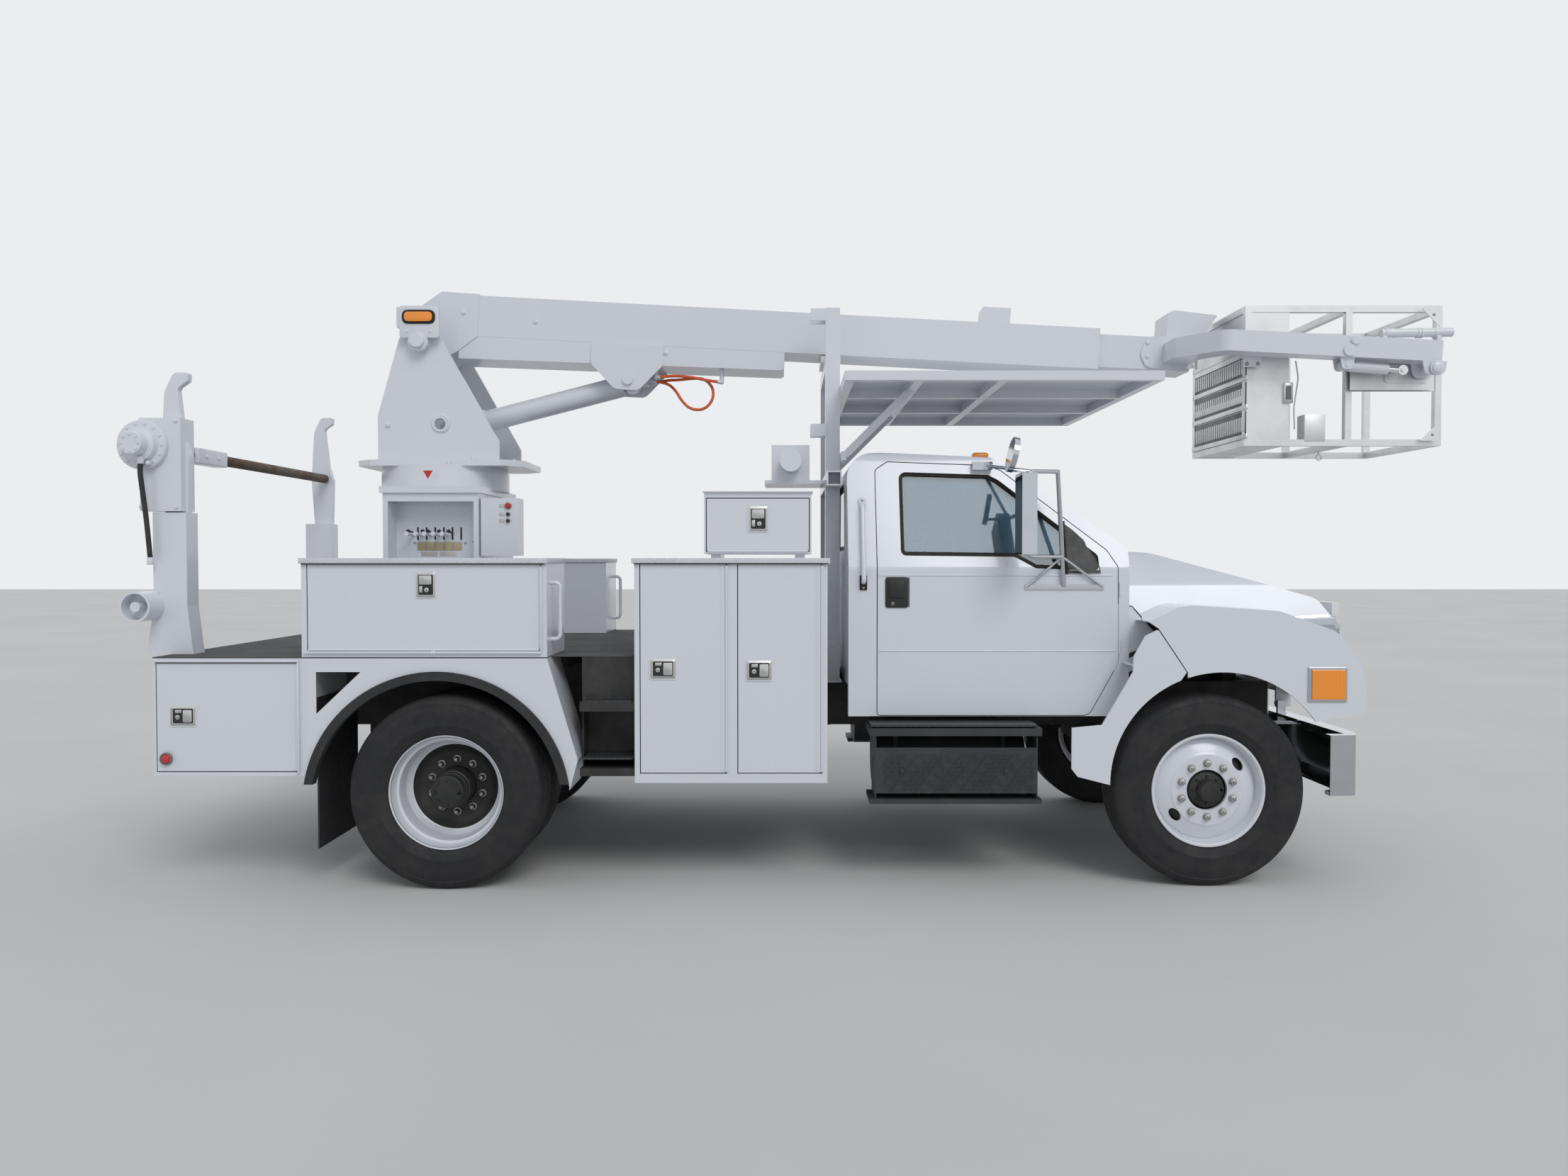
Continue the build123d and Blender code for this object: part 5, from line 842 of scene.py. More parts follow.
def tyreProfile():
    sizes = tyreSizes
    crown = []
    for groove in sizes["grooves"]:
        for offset, depth in ((-1.3, 0), (-0.8, 1), (0.8, 1), (1.3, 0)):
            radius = sizes["radius"] - sizes["crownDrop"] - depth * sizes["grooveDepth"]
            crown.append((radius, groove + offset * sizes["grooveHalf"]))
    return tyreWall + crown + [(radius, -out) for radius, out in reversed(tyreWall)]


tyreModel = turned(tyreProfile(), (0, 0, axleHeight), segments=tyreSizes["segments"])


def tyres(title, hand, side):
    front = middleOf(f"front_tyre_{hand}")
    low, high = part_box(f"rear_tyres_{hand}")
    half = tyreSizes["halfWidth"]
    single = [(again(tyreModel, (front.x, front.y, 0)), "tyre")]
    twins = [(again(tyreModel, (rearAxle, y, 0)), "tyre") for y in (low.y + half, high.y - half)]
    assemble(f"frontTyre{title}", single, f"front_wheel_{hand}_body", [f"front_tyre_{hand}"])
    assemble(f"rearTyres{title}", twins, f"rear_wheels_{hand}_body", [f"rear_tyres_{hand}"])


both(tyres)
bpy.data.objects.remove(tyreModel)
print("tyres ready")

# front wheels: pressed disc with two hand holes, ten nuts and an open black hub
nutSizes = {"count": 10, "circle": 0.143, "nut": 0.0165, "washer": 1.3, "stud": 0.0095}
frontWheelSizes = {
    "face": 0.088,
    "holeReach": 0.214,
    "holeRadius": 0.041,
    "holeNarrow": 0.6,
    "holeDegrees": (39, 219),
    "segments": 112,
}
frontBarrel = [
    (0.300, 0.112), (0.292, 0.112), (0.284, 0.104), (0.281, 0.070), (0.272, 0.046), (0.264, 0.040),
    (0.262, -0.098), (0.291, -0.112), (0.300, -0.112), (0.300, -0.104), (0.272, -0.092), (0.274, 0.030),
    (0.289, 0.060), (0.292, 0.100), (0.302, 0.101), (0.303, 0.108),
]
frontDisc = [
    (0.262, 0.053), (0.240, 0.066), (0.205, 0.080), (0.192, 0.0845), (0.188, 0.088), (0.108, 0.088),
    (0.106, 0.080), (0.106, 0.070), (0.180, 0.070), (0.236, 0.052), (0.262, 0.036), (0.268, 0.036),
    (0.268, 0.048),
]
frontHub = [
    (0.0005, 0.0), (0.100, 0.0), (0.100, 0.070), (0.092, 0.082), (0.060, 0.090), (0.056, 0.128),
    (0.050, 0.138), (0.030, 0.142), (0.0005, 0.142),
]
frontDrum = [(0.110, -0.128), (0.250, -0.128), (0.250, 0.026), (0.200, 0.060), (0.110, 0.062)]


def handHole(centre, angle):
    # an oval cutter, longer round the wheel than across it
    spot = Vector((frontWheelSizes["holeReach"], 0, 0))
    hole = peg(*spot, -0.2, 0.2, frontWheelSizes["holeRadius"], 32, 0)
    openMesh(hole)
    bpy.ops.transform.resize(value=(frontWheelSizes["holeNarrow"], 1, 1), center_override=spot)
    closeMesh()
    hole.matrix_world = Matrix.Translation(centre) @ Matrix.Rotation(-angle, 4, "Y")
    return settled()


def studs(centre, face, side, finish="chrome"):
    # washers, nuts and stud ends round a wheel's centre
    x, z, count, nut = centre[0] + nutSizes["circle"], centre[2], nutSizes["count"], nutSizes["nut"]
    items = [
        (peg(x, face, z, 0, side * 0.006, nut * nutSizes["washer"], 20, 0.0015), "steel"),
        (peg(x, face, z, side * 0.005, side * 0.024, nut, 6, 0.0015), finish),
        (peg(x, face, z, side * 0.022, side * 0.036, nutSizes["stud"], 16), "steel"),
    ]
    made = []
    for item, look in items:
        made += [(copy, look) for copy in ring(centre, count, item, start=math.pi / count)]
        bpy.data.objects.remove(item)
    return made


def hubBolts(centre, side, reach, face, high, size):
    # eight small bolts near the hub's end
    bolt = peg(centre.x + reach, centre.y + side * face, centre.z, 0, side * high, size, 6)
    return [(copy, "hub") for copy in ring(centre, 8, bolt)] + [(bolt, "hub")]


def frontWheels(title, hand, side):
    centre = middleOf(f"front_tyre_{hand}")
    centre.z = axleHeight
    segments = frontWheelSizes["segments"]
    disc = turned(frontDisc, centre, side, segments=segments)
    for degrees in frontWheelSizes["holeDegrees"]:
        cut(disc, handHole(centre, math.radians(degrees)))
    parts = [(disc, "wheel"), (turned(frontBarrel, centre, side, segments=segments), "wheel")]
    parts += studs(centre, centre.y + side * frontWheelSizes["face"], side)
    parts.append((turned(frontHub, centre, side), "hub"))
    parts += hubBolts(centre, side, 0.074, 0.082, 0.014, 0.008)
    parts.append((turned(frontDrum, centre, side), "hub"))
    node = f"front_wheel_{hand}"
    assemble(f"frontWheel{title}", parts, f"{node}_body", [node], 30)


both(frontWheels)
print("front wheels ready")

# rear wheels: deep white rims, a black dish that is painted shade inside the rims, and the axle's hub
rearRim = [
    (0.3, 0.112), (0.303, 0.108), (0.302, 0.1), (0.292, 0.099), (0.288, 0.07), (0.280, 0.05), (0.268, 0.045),
    (0.262, 0.02), (0.258, -0.045), (0.245, -0.062), (0.230, -0.070), (0.230, -0.082), (0.262, -0.082),
    (0.268, -0.098), (0.300, -0.104), (0.300, -0.112), (0.284, -0.112), (0.276, -0.1), (0.272, -0.06),
    (0.275, 0.03), (0.290, 0.06), (0.294, 0.104),
]
rearShadeDish = [
    (0.231, -0.070), (0.205, -0.098), (0.180, -0.106), (0.106, -0.106), (0.106, -0.118), (0.185, -0.118),
    (0.231, -0.082),
]
rearHub = [
    (0.0005, -0.140), (0.104, -0.140), (0.104, -0.02), (0.098, 0.0), (0.092, 0.004), (0.092, 0.030),
    (0.086, 0.036), (0.086, 0.088), (0.078, 0.096), (0.0005, 0.098),
]


def rearWheels(title, hand, side):
    low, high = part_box(f"rear_tyres_{hand}")
    half = tyreSizes["halfWidth"]
    rows = (low.y + half, high.y - half)
    outer, inner = (Vector(((low.x + high.x) / 2, y, axleHeight)) for y in (rows if side < 0 else rows[::-1]))
    parts = []
    for centre, way, segments in ((outer, side, 96), (inner, -side, 64)):
        parts.append((turned(rearRim, centre, way, segments=segments), "wheel"))
        # the dish takes the black hub finish as painted shade of the deep rim's hollow
        parts.append((turned(rearShadeDish, centre, way), "hub"))
    parts.append((turned(rearHub, outer, side), "hub"))
    parts += studs(outer, outer.y - side * 0.106, side, "hub")
    parts += hubBolts(outer, side, 0.066, 0.094, 0.011, 0.009)
    node = f"rear_wheels_{hand}"
    assemble(f"rearWheels{title}", parts, f"{node}_body", [node], 30)


both(rearWheels)
print("rear wheels ready")

# flush latches: a pressed stainless pan, its paddle and lock, with black pieces as painted shade in the
# pocket and the keyway, made once and set on each door
latchSize = {
    "wide": 0.104,
    "tall": 0.134,
    "deep": 0.004,
    "flange": 0.012,
    "paddle": 0.066,
    "lock": 0.012,
    "rivets": (0.044, 0.050),
}
# name, door, station, height, whether it lies flat
latchPlaces = (
    ("rearBin", "rear_bin", -1.363, 0.920, True),
    ("wheelBin", "wheel_bin", -0.090, 1.605, False),
    ("cabinetRear", "cabinet_rear", 1.145, 1.167, True),
    ("cabinetFront", "cabinet_front", 1.647, 1.159, True),
)


def latchModel():
    deep, reach = latchSize["deep"], latchSize["paddle"] / 2
    half, high = latchSize["wide"] / 2, latchSize["tall"] / 2
    corners = [(-half, -high), (half, -high), (half, high), (-half, high)]
    frame = plate(corners, 0, -deep, corner=0.014, soft=0.0012)
    pick(frame, lambda centre, normal: normal.y < -0.9)
    bpy.ops.mesh.inset(thickness=latchSize["flange"])
    bpy.ops.mesh.extrude_region_move(TRANSFORM_OT_translate={"value": (0, deep * 0.7, 0)})
    closeMesh()
    lever = [(-reach, 0.002), (reach, 0.002), (reach, 0.05), (-reach, 0.05)]
    parts = [
        (frame, "stainless"),
        # the black sheet on the pan's floor is painted shade of the pocket behind the paddle
        (plate([(a * 0.74, b * 0.78) for a, b in corners], -0.0016, -0.0022, corner=0.008), "black"),
        (plate(lever, -0.002, -0.010, corner=0.008, soft=0.002), "stainless"),
        (block((-reach, -0.006, -0.040), (-0.016, -0.002, -0.006), 0.0015), "stainless"),
        (peg(0.006, 0, -0.026, -0.001, -0.008, latchSize["lock"], 20), "stainless"),
        # the small black block on the lock is painted shade of the keyway
        (block((0.0045, -0.0086, -0.032), (0.0075, -0.0078, -0.020), 0.0003), "black"),
    ]
    rivet = peg(0, -deep, 0, 0, -0.002, 0.0035, 12)
    across, up = latchSize["rivets"]
    for a in (-across, across):
        for b in (-up, up):
            parts.append((again(rivet, (a, 0, b)), "stainless"))
    bpy.data.objects.remove(rivet)
    return parts


def setLatches(rows):
    model = latchModel()
    for name, node, x, z, flat, side in rows:
        spot = Vector(at(x, onSide(node, station(x), z, side), z))
        facing = Matrix.Rotation(0 if side < 0 else math.pi, 4, "Z")
        parts = []
        for item, finish in model:
            copy = again(item, turn=math.pi / 2 if flat else 0.0)
            copy.matrix_world = Matrix.Translation(spot) @ facing
            fresh(copy)
            settled()
            parts.append((copy, finish))
        assemble(name, parts, f"{node}_body")
    for item, _ in model:
        bpy.data.objects.remove(item)


latchRows = [("topBoxLatch", "top_bin_door", 1.641, 1.951, False, -1)]
for title, hand, side in hands:
    for name, door, x, z, flat in latchPlaces:
        latchRows.append((f"{name}Latch{title}", f"{door}_door_{hand}", x, z, flat, side))
setLatches(latchRows)
print("latches ready")


def treadMetal(name, tone, pitch, depth):
    # crossed raised bars of a tread plate, their tops coloured lighter as a painted highlight
    finish = Finish(name)
    bars = []
    for sign in (1, -1):
        slant = finish.axis("X") * pitch + (finish.axis("Y") + finish.axis("Z")) * (pitch * sign)
        gate = (slant * 0.5 + (finish.axis("X") * pitch)).sine()
        bars.append(finish.ramp(slant.sine(), 0.55, 0.95) * finish.ramp(gate, -0.2, 0.2))
    raised = bars[0].atLeast(bars[1])
    grime = finish.ramp(finish.noise(5.0, 6.0, 0.6), 0.4, 0.75, 0.0, 0.4)
    base = finish.mixed(grime, tone, tuple(channel * 0.7 for channel in tone))
    return finish.wear(
        # lighter colour on the raised bars: painted highlight
        colour=finish.mixed(raised * 0.35, base, tuple(min(channel * 1.5, 0.9) for channel in tone)),
        roughness=finish.cloudy(30.0, 4.0, 0.38, 0.55) - raised * 0.12,
        normal=finish.bump(raised, 0.7, depth),
    )


paint["darkTread"] = treadMetal("darkTread", (0.035, 0.036, 0.040), 190.0, 0.002)
paint["bodyTread"] = treadMetal("paintedTread", (0.66, 0.68, 0.73), 190.0, 0.0018)

# tread-plate tops, hinges, gutters and lamps of the side boxes
boxTrim = {
    "outer": 1.2335,
    "lip": 0.007,
    "drop": 0.024,
    "hinge": 0.006,
    "gutter": 0.003,
    "lids": ((-0.742, 0.540, 0.742), (0.990, 2.010, 0.72)),
    "flatHinges": ((-0.725, 0.515, 1.252), (-1.505, -0.752, 1.208)),
    "uprightHinges": ((0.512, 1.26, 1.70), (-0.757, 0.62, 1.20)),
    "gutters": ((-0.735, 0.530, 1.714), (0.995, 2.005, 1.716)),
    "lamp": (-1.45, 1.2325, 0.697),
    "catch": -0.05,
}
tailLamp = [(0.0, 0.013), (0.010, 0.0125), (0.020, 0.009), (0.025, 0.002), (0.025, -0.004), (0.0, -0.004)]
grommet = [(0.024, 0.004), (0.027, 0.008), (0.031, 0.006), (0.033, -0.003), (0.024, -0.003)]


def treadTop(x0, x1, y0, y1, z, side):
    # a tread plate folded down over a box's edge
    lip, drop = boxTrim["lip"], boxTrim["drop"]
    low = (station(x0) - lip, min(y0, y1 + side * lip), z - drop)
    high = (station(x1) + lip, max(y0, y1 + side * lip), z + 0.004)
    made = block(low, high, 0.0025)
    under = block((low[0] + 0.004, low[1] + 0.004, z - drop - 0.01), (high[0] - 0.004, high[1] - 0.004, z), 0)
    return cut(made, under)


def boxDetails(title, hand, side):
    outer, half = side * boxTrim["outer"], boxTrim["gutter"]
    parts = [
        (treadTop(x0, x1, side * inner, side * 1.229, 1.741, side), "bodyTread")
        for x0, x1, inner in boxTrim["lids"]
    ]
    hinges = [(at(x0, outer, z), at(x1, outer, z)) for x0, x1, z in boxTrim["flatHinges"]]
    hinges += [(at(x, outer, z0), at(x, outer, z1)) for x, z0, z1 in boxTrim["uprightHinges"]]
    parts += [(pole(start, end, boxTrim["hinge"], 12, 0.001), "body") for start, end in hinges]
    for x0, x1, z in boxTrim["gutters"]:
        low, high = at(x0, outer - half, z - half), at(x1, outer + half, z + half)
        parts.append((block(low, high, 0.001), "seal"))
    x, y, z = boxTrim["lamp"]
    spot = Vector(at(x, side * y, z))
    parts.append((turned(tailLamp, spot, side, segments=40), "red"))
    parts.append((turned(grommet, spot, side, segments=40), "grey"))
    x = station(boxTrim["catch"])
    catch = block((x - 0.012, outer - 0.006, 1.244), (x + 0.012, outer + 0.007, 1.262), 0.003)
    parts.append((catch, "body"))
    assemble(f"boxTrim{title}", parts, "truck")


both(boxDetails)

# dark tread on the body steps and the cab steps, with a slotted guard under them whose slots are dark blocks,
# painted shade of the openings
stepLook = {
    "heights": (0.690, 0.990),
    "teeth": 12,
    "toothPitch": 0.0215,
    "guard": 1.168,
    "slotShade": 0.022,
    "slotHigh": 0.0045,
    "rows": 9,
    "columns": 24,
    "pitch": (0.0335, 0.023),
    "stagger": 0.012,
}


def stepTreads(title, hand, side):
    look = stepLook
    parts = []
    for z in look["heights"]:
        top = block((-1.205, side * 0.98, z - 0.004), (-0.945, side * 1.196, z + 0.006), 0.002)
        parts.append((top, "darkTread"))
        tooth = pole((-1.195, side * 1.0, z + 0.004), (-1.195, side * 1.19, z + 0.004), 0.006, 6)
        parts += [(again(tooth, (n * look["toothPitch"], 0, 0)), "step") for n in range(look["teeth"])]
        bpy.data.objects.remove(tooth)
    parts.append((block(at(2.236, side * 0.90, 0.852), at(3.115, side * 1.160, 0.866), 0.003), "darkTread"))
    outer, x, z = side * look["guard"], station(2.300), 0.70
    # each slot is a thin dark block laid on the guard: painted shade of an opening
    slotShade = block((x, outer - 0.002, z), (x + look["slotShade"], outer + 0.002, z + look["slotHigh"]), 0)
    for row in range(look["rows"]):
        for column in range(look["columns"]):
            if (row * 7 + column * 3) % 11 > 1:
                across = column * look["pitch"][0] + (row % 2) * look["stagger"]
                parts.append((again(slotShade, (across, 0, -row * look["pitch"][1])), "hub"))
    bpy.data.objects.remove(slotShade)
    for x in (2.40, 2.95):
        parts.append((peg(station(x), outer, 0.62, -side * 0.004, side * 0.004, 0.012, 6, 0.002), "step"))
    assemble(f"stepTreads{title}", parts, "truck")


both(stepTreads)
print("boxes and steps trimmed")

# cab: seals, sail panel, handle, grab rail, creases, seams and lamps
cabLook = {
    "seal": 0.020,
    "crease": 0.0045,
    "seamWide": 0.0026,
    "handle": (2.385, 1.560),
    "creases": ((1.652, 2.292, 3.545), (1.245, 2.292, 3.560)),
    "seam": ((3.585, 1.487), (3.655, 1.487), (3.790, 1.335)),
    "rail": 2.205,
    "roofLamps": (-0.64, -0.32, 0.0, 0.32, 0.64),
}
sail = [
    (3.300, 1.935), (3.345, 1.900), (3.400, 1.846), (3.448, 1.775), (3.478, 1.700), (3.484, 1.664),
    (3.300, 1.662),
]
cowl = [
    (3.560, 1.500), (3.640, 1.494), (3.700, 1.440), (3.800, 1.330), (3.800, 1.240), (3.700, 1.160),
    (3.560, 1.080),
]
# outline of the vent slit in the cowl, drawn as a thin dark plate: painted shade of the opening
slitShade = [(3.600, 1.205), (3.650, 1.235), (3.705, 1.255), (3.665, 1.215), (3.610, 1.190)]


def patchOn(names, shape, side, lift, thick):
    # a thin panel with its corners laid on the outermost of some solids
    rows = [(x, onSides(names, x, z, side) + side * lift, z) for x, z in outline(shape)]
    return thicken(trace(rows), (0, side * thick, 0))


def cabDoor(title, hand, side):
    door, glass = f"door_{hand}", f"door_glass_{hand}"
    x, z = station(cabLook["handle"][0]), cabLook["handle"][1]
    y, edge = crest(door, x, z, side), station(3.3)
    parts = [
        (rimOf(glass, (0, side, 0), cabLook["seal"], 0.008), "seal"),
        (stadium(x, z, 0.124, 0.166, y - side * 0.002, y + side * 0.007, 0.018), "black"),
        (stadium(x, z + 0.019, 0.084, 0.098, y + side * 0.005, y + side * 0.014, 0.012, 0.003), "black"),
        (peg(x - 0.022, y, z - 0.060, side * 0.004, side * 0.011, 0.011, 20), "grey"),
        (patchOn((glass, door), sail, side, 0.003, 0.004), "black"),
    ]
    bead = [(edge, onSides((glass, door), edge, b, side) + side * 0.004, b) for b in (1.945, 1.66)]
    parts.append((pipe(bead, 0.008), "seal"))
    for height, x0, x1 in cabLook["creases"]:
        rows = [at(a, onSide(door, station(a), height, side), height) for a in (x0, (x0 + x1) / 2, x1)]
        parts.append((pipe(rows, cabLook["crease"]), "cab"))
    assemble(f"cabDoorTrim{title}", parts, f"cab_door_{hand}_body")


def cabSide(title, hand, side):
    cabDoor(title, hand, side)
    x = station(cabLook["rail"])
    foot, top = onSide("cab_shell", x, 1.70, side), onSide("cab_shell", x, 2.03, side)
    rail = [(x, top, 2.035), (x, top + side * 0.045, 2.03), (x, foot + side * 0.052, 1.62), (x, foot, 1.615)]
    seam = [at(a, side * 1.009, b) for a, b in cabLook["seam"]]
    parts = [
        (plate(outline(cowl), side * 1.000, side * 1.008, soft=0.002), "cab"),
        (pipe(seam, cabLook["seamWide"], corner=0.01), "seal"),
        (plate(outline(slitShade), side * 1.008, side * 1.0105), "hub"),
        (pipe(rail, 0.013, corner=0.02), "cab"),
    ]
    for height, y, finish in ((2.035, top, "cab"), (1.612, foot, "seal")):
        pad = block((x - 0.02, y, height - 0.04), (x + 0.02, y + side * 0.012, height + 0.04), 0.004)
        parts.append((pad, finish))
        for dz in (-0.027, 0.027):
            parts.append((peg(x, y, height + dz, side * 0.010, side * 0.016, 0.006, 12), "steel"))
    assemble(f"cabSideTrim{title}", parts, "truck")


both(cabSide)


def cabGlassTrim():
    parts = [
        (rimOf("cab_glass", (1, 0, 0.5), 0.030, 0.006), "seal"),
        (rimOf("cab_glass", (-1, 0, 0), 0.026, 0.006), "seal"),
    ]
    for y in cabLook["roofLamps"]:
        x, _, z = touch("cab_shell", at(2.90, y, 3.0), (0, 0, -1))
        parts += [
            (block((x - 0.062, y - 0.036, z - 0.012), (x + 0.052, y + 0.036, z + 0.010), 0.006, 3), "black"),
            (block((x - 0.052, y - 0.030, z + 0.004), (x + 0.042, y + 0.030, z + 0.040), 0.017, 4), "amber"),
        ]
    assemble("cabGlassTrim", parts, "truck")


cabGlassTrim()
print("cab trimmed")


def headLamps(title, hand, side):
    # rim and lens of the headlamp and of the turn lamp
    head = at(4.720, side * 0.930, 1.318), (0.75, side * 0.66, 0.08)
    turn = at(4.592, side * 1.170, 1.085), (0.45, side, 0)
    rows = (
        (head, 0.240, 0.235, "chrome", 0.004, 0.008),
        (head, 0.212, 0.207, "lampGlass", 0.016, 0.008),
        (turn, 0.186, 0.184, "chrome", 0.004, 0.010),
        (turn, 0.160, 0.156, "amber", 0.012, 0.012),
    )
    parts = []
    for (centre, toward), wide, tall, finish, lift, thick in rows:
        parts.append((wrapOn("hood", centre, toward, wide, tall, lift, thick), finish))
    assemble(f"headLamps{title}", parts, "hood_body")


both(headLamps)
print("front lamps ready")

# turret: marker lamp in its frame, pin caps, ringed hole, side bolt and a ring of bolts round its foot
turretLook = {
    "x": -2.325,
    "pivot": 3.039,
    "lampHigh": 3.178,
    "hole": (-2.207, 2.554),
    "sideBolt": (-2.525, 2.545),
    "ringBolts": 20,
    "ringReach": (0.47, 0.345),
}
pinCap = [
    (0.0, 0.045), (0.038, 0.045), (0.042, 0.041), (0.042, 0.018), (0.056, 0.016), (0.060, 0.012),
    (0.060, -0.004), (0.0, -0.004),
]
holeRing = [(0.040, -0.004), (0.040, 0.004), (0.045, 0.009), (0.053, 0.009), (0.057, 0.004), (0.057, -0.004)]


def boltHead(x, y, z, side, radius=0.014, high=0.009):
    # a washer with a domed head on it, facing outwards
    washer = peg(x, y, z, -side * 0.002, side * 0.003, radius * 1.45)
    fresh(washer, peg(x, y, z, 0, side * high, radius, 6, 0.0015))
    bpy.ops.object.join()
    return bpy.context.object


def turretSide(title, hand, side):
    x, z = turretLook["x"], turretLook["lampHigh"]
    y = crest("turntable", x, z, side, 0.05)
    parts = []
    for dx, dz, long, high, start, end, corner, finish in (
        (0.010, -0.028, 0.235, 0.190, -0.004, 0.016, 0.016, "boom"),
        (0.008, 0, 0.196, 0.082, 0.012, 0.024, 0.040, "seal"),
        (0.008, 0, 0.166, 0.056, 0.020, 0.033, 0.027, "amber"),
    ):
        shape = stadium(x + dx, z + dz, long, high, y + side * start, y + side * end, corner)
        parts.append((shape, finish))
    for dx in (-0.062, 0.075):
        parts.append((boltHead(x + dx, y + side * 0.014, z - 0.085, side, 0.007, 0.007), "boom"))
    spot = Vector((x, y, turretLook["pivot"] - 0.004))
    parts.append((turned(pinCap, spot, side, segments=48), "boom"))
    x, z = turretLook["hole"]
    spot = Vector((x, onSide("turntable", x - 0.085, z, side), z))
    parts.append((turned(holeRing, spot, side, segments=48), "boom"))
    x, z = turretLook["sideBolt"]
    parts.append((boltHead(x, onSide("turntable", x, z, side), z, side, 0.013, 0.012), "boom"))
    assemble(f"turretFittings{title}", parts, "turret")


both(turretSide)


def turretBase():
    parts = []
    count, reach = turretLook["ringBolts"], turretLook["ringReach"]
    for n in range(count):
        angle = math.tau * (n + 0.5) / count
        x, y = turretLook["x"] + 0.1 + math.cos(angle) * reach[0], math.sin(angle) * reach[1]
        spot = touch("turntable", (x, y, 3.4), (0, 0, -1))
        if spot.z < 2.40:  # on the foot, not on the arms above it
            up = Vector((0, 0, 1))
            parts.append((pole(spot - up * 0.002, spot + up * 0.016, 0.013, 6, 0.002), "boom"))
    assemble("turretBolts", parts, "turret")


turretBase()

# pedestal: valve levers in their slots, which are thin dark plates as painted shade, a blank plate, knobs and
# screws on the panel
panelLook = {
    "place": (-0.295, 1.894),
    "slots": 6,
    "pitch": 0.052,
    "leans": (-0.022, 0.012, -0.008, 0.006, 0.010),
    "lines": 4,
    "screws": (
        (-0.150, -0.055), (-0.150, -0.170), (0.150, -0.170), (0.155, -0.055), (-0.205, 0.004),
        (0.205, -0.050), (0.205, -0.172),
    ),
}
knob = [(0.0, -0.014), (0.008, -0.013), (0.011, -0.004), (0.010, 0.008), (0.006, 0.013), (0.0, 0.014)]
paint["blank"] = plastic("blankLabel", (0.62, 0.60, 0.58), 0.45)


def pedestalPanel(side):
    parts = []
    x0, z = station(panelLook["place"][0]), panelLook["place"][1]
    y = onSide("pedestal", station(-0.243), 1.980, side)
    for n in range(panelLook["slots"]):
        x = x0 - 0.130 + n * panelLook["pitch"]
        # each slot is a thin dark plate: painted shade of the opening
        parts.append((stadium(x, z, 0.011, 0.078, y - side * 0.001, y + side * 0.002, 0.005), "hub"))
        if n < len(panelLook["leans"]):
            lean = x + panelLook["leans"][n]
            parts.append((pole((x, y, z), (lean - 0.012, y + side * 0.062, z + 0.012), 0.005, 12), "step"))
            spot = Vector((lean - 0.014, y + side * 0.070, z + 0.013))
            parts.append((turned(knob, spot, side, segments=20), "black"))
    y += side * 0.001
    parts.append((stadium(x0, z - 0.076, 0.270, 0.052, y - side * 0.002, y + side * 0.002, 0.004), "yellow"))
    for n in range(1, panelLook["lines"] + 1):
        x = x0 - 0.135 + n * 0.054
        line = block((x - 0.0008, y, z - 0.100), (x + 0.0008, y + side * 0.0026, z - 0.052), 0)
        parts.append((line, "hub"))
    for dx, dz in panelLook["screws"]:
        parts.append((peg(x0 + dx, y, z + dz, 0, side * 0.005, 0.007, 6), "steel"))
    for dx in (-0.062, 0.050):
        label = stadium(x0 + dx, z - 0.122, 0.100, 0.028, y - side * 0.001, y + side * 0.0016, 0.003)
        parts.append((label, "blank"))
    assemble("pedestalPanel", parts, "truck")


pedestalPanel(-1)

# the emergency knob and two buttons on the narrow control box, as height, radius and finish
buttonRows = ((2.055, 0.016, "redKnob"), (2.005, 0.010, "black"), (1.967, 0.010, "black"))


def controlBoxes():
    parts = []
    x = station(0.135) + 0.016
    for z, radius, finish in buttonRows:
        hits = [touch(node, (x, -1.6, z), (0, 1, 0)).y for node in ("pedestal", "boom_rest")]
        y = next(hit for hit in hits if hit > -1.5)
        parts += [
            (peg(x, y, z, 0.001, -0.006, radius * 1.3), "steel"),
            (peg(x, y, z, 0, -0.020, radius, 24, 0.003), finish),
            (stadium(x - 0.038, z, 0.034, 0.024, y + 0.001, y - 0.0014, 0.002), "blank"),
        ]
    assemble("controlButtons", parts, "truck")


controlBoxes()


def drumMark():
    # a small red arrow head on the drum under the turret
    x, z = -2.225, 2.235
    under, over = (touch(node, (x, -1.6, z), (0, 1, 0)).y for node in ("pedestal", "turntable"))
    y = max(min(under, over), -0.5)
    mark = plate([(x - 0.028, z + 0.022), (x + 0.028, z + 0.022), (x, z - 0.026)], y + 0.002, y - 0.003)
    assemble("drumMark", [(mark, "redKnob")], "turret" if over < under else "truck")


drumMark()
print("turret and pedestal fitted")

# reel stands: gear housing with its bolts, motor ports and hose
reelLook = {
    "station": -1.647,
    "height": 2.349,
    "face": -1.045,
    "boltRings": ((0.030, 0.113, 14, 0.009), (0.132, 0.045, 8, 0.007)),
    "ports": ((0.052, -0.098), (0.004, -0.103)),
    "plateBolts": ((-0.018, 0.130), (0.170, 0.130), (-0.018, -0.330), (0.170, -0.330)),
}
housing = [
    (0.0, -0.004), (0.132, -0.004), (0.132, 0.026), (0.127, 0.032), (0.096, 0.036), (0.088, 0.066),
    (0.064, 0.076), (0.062, 0.128), (0.058, 0.134), (0.0, 0.134),
]


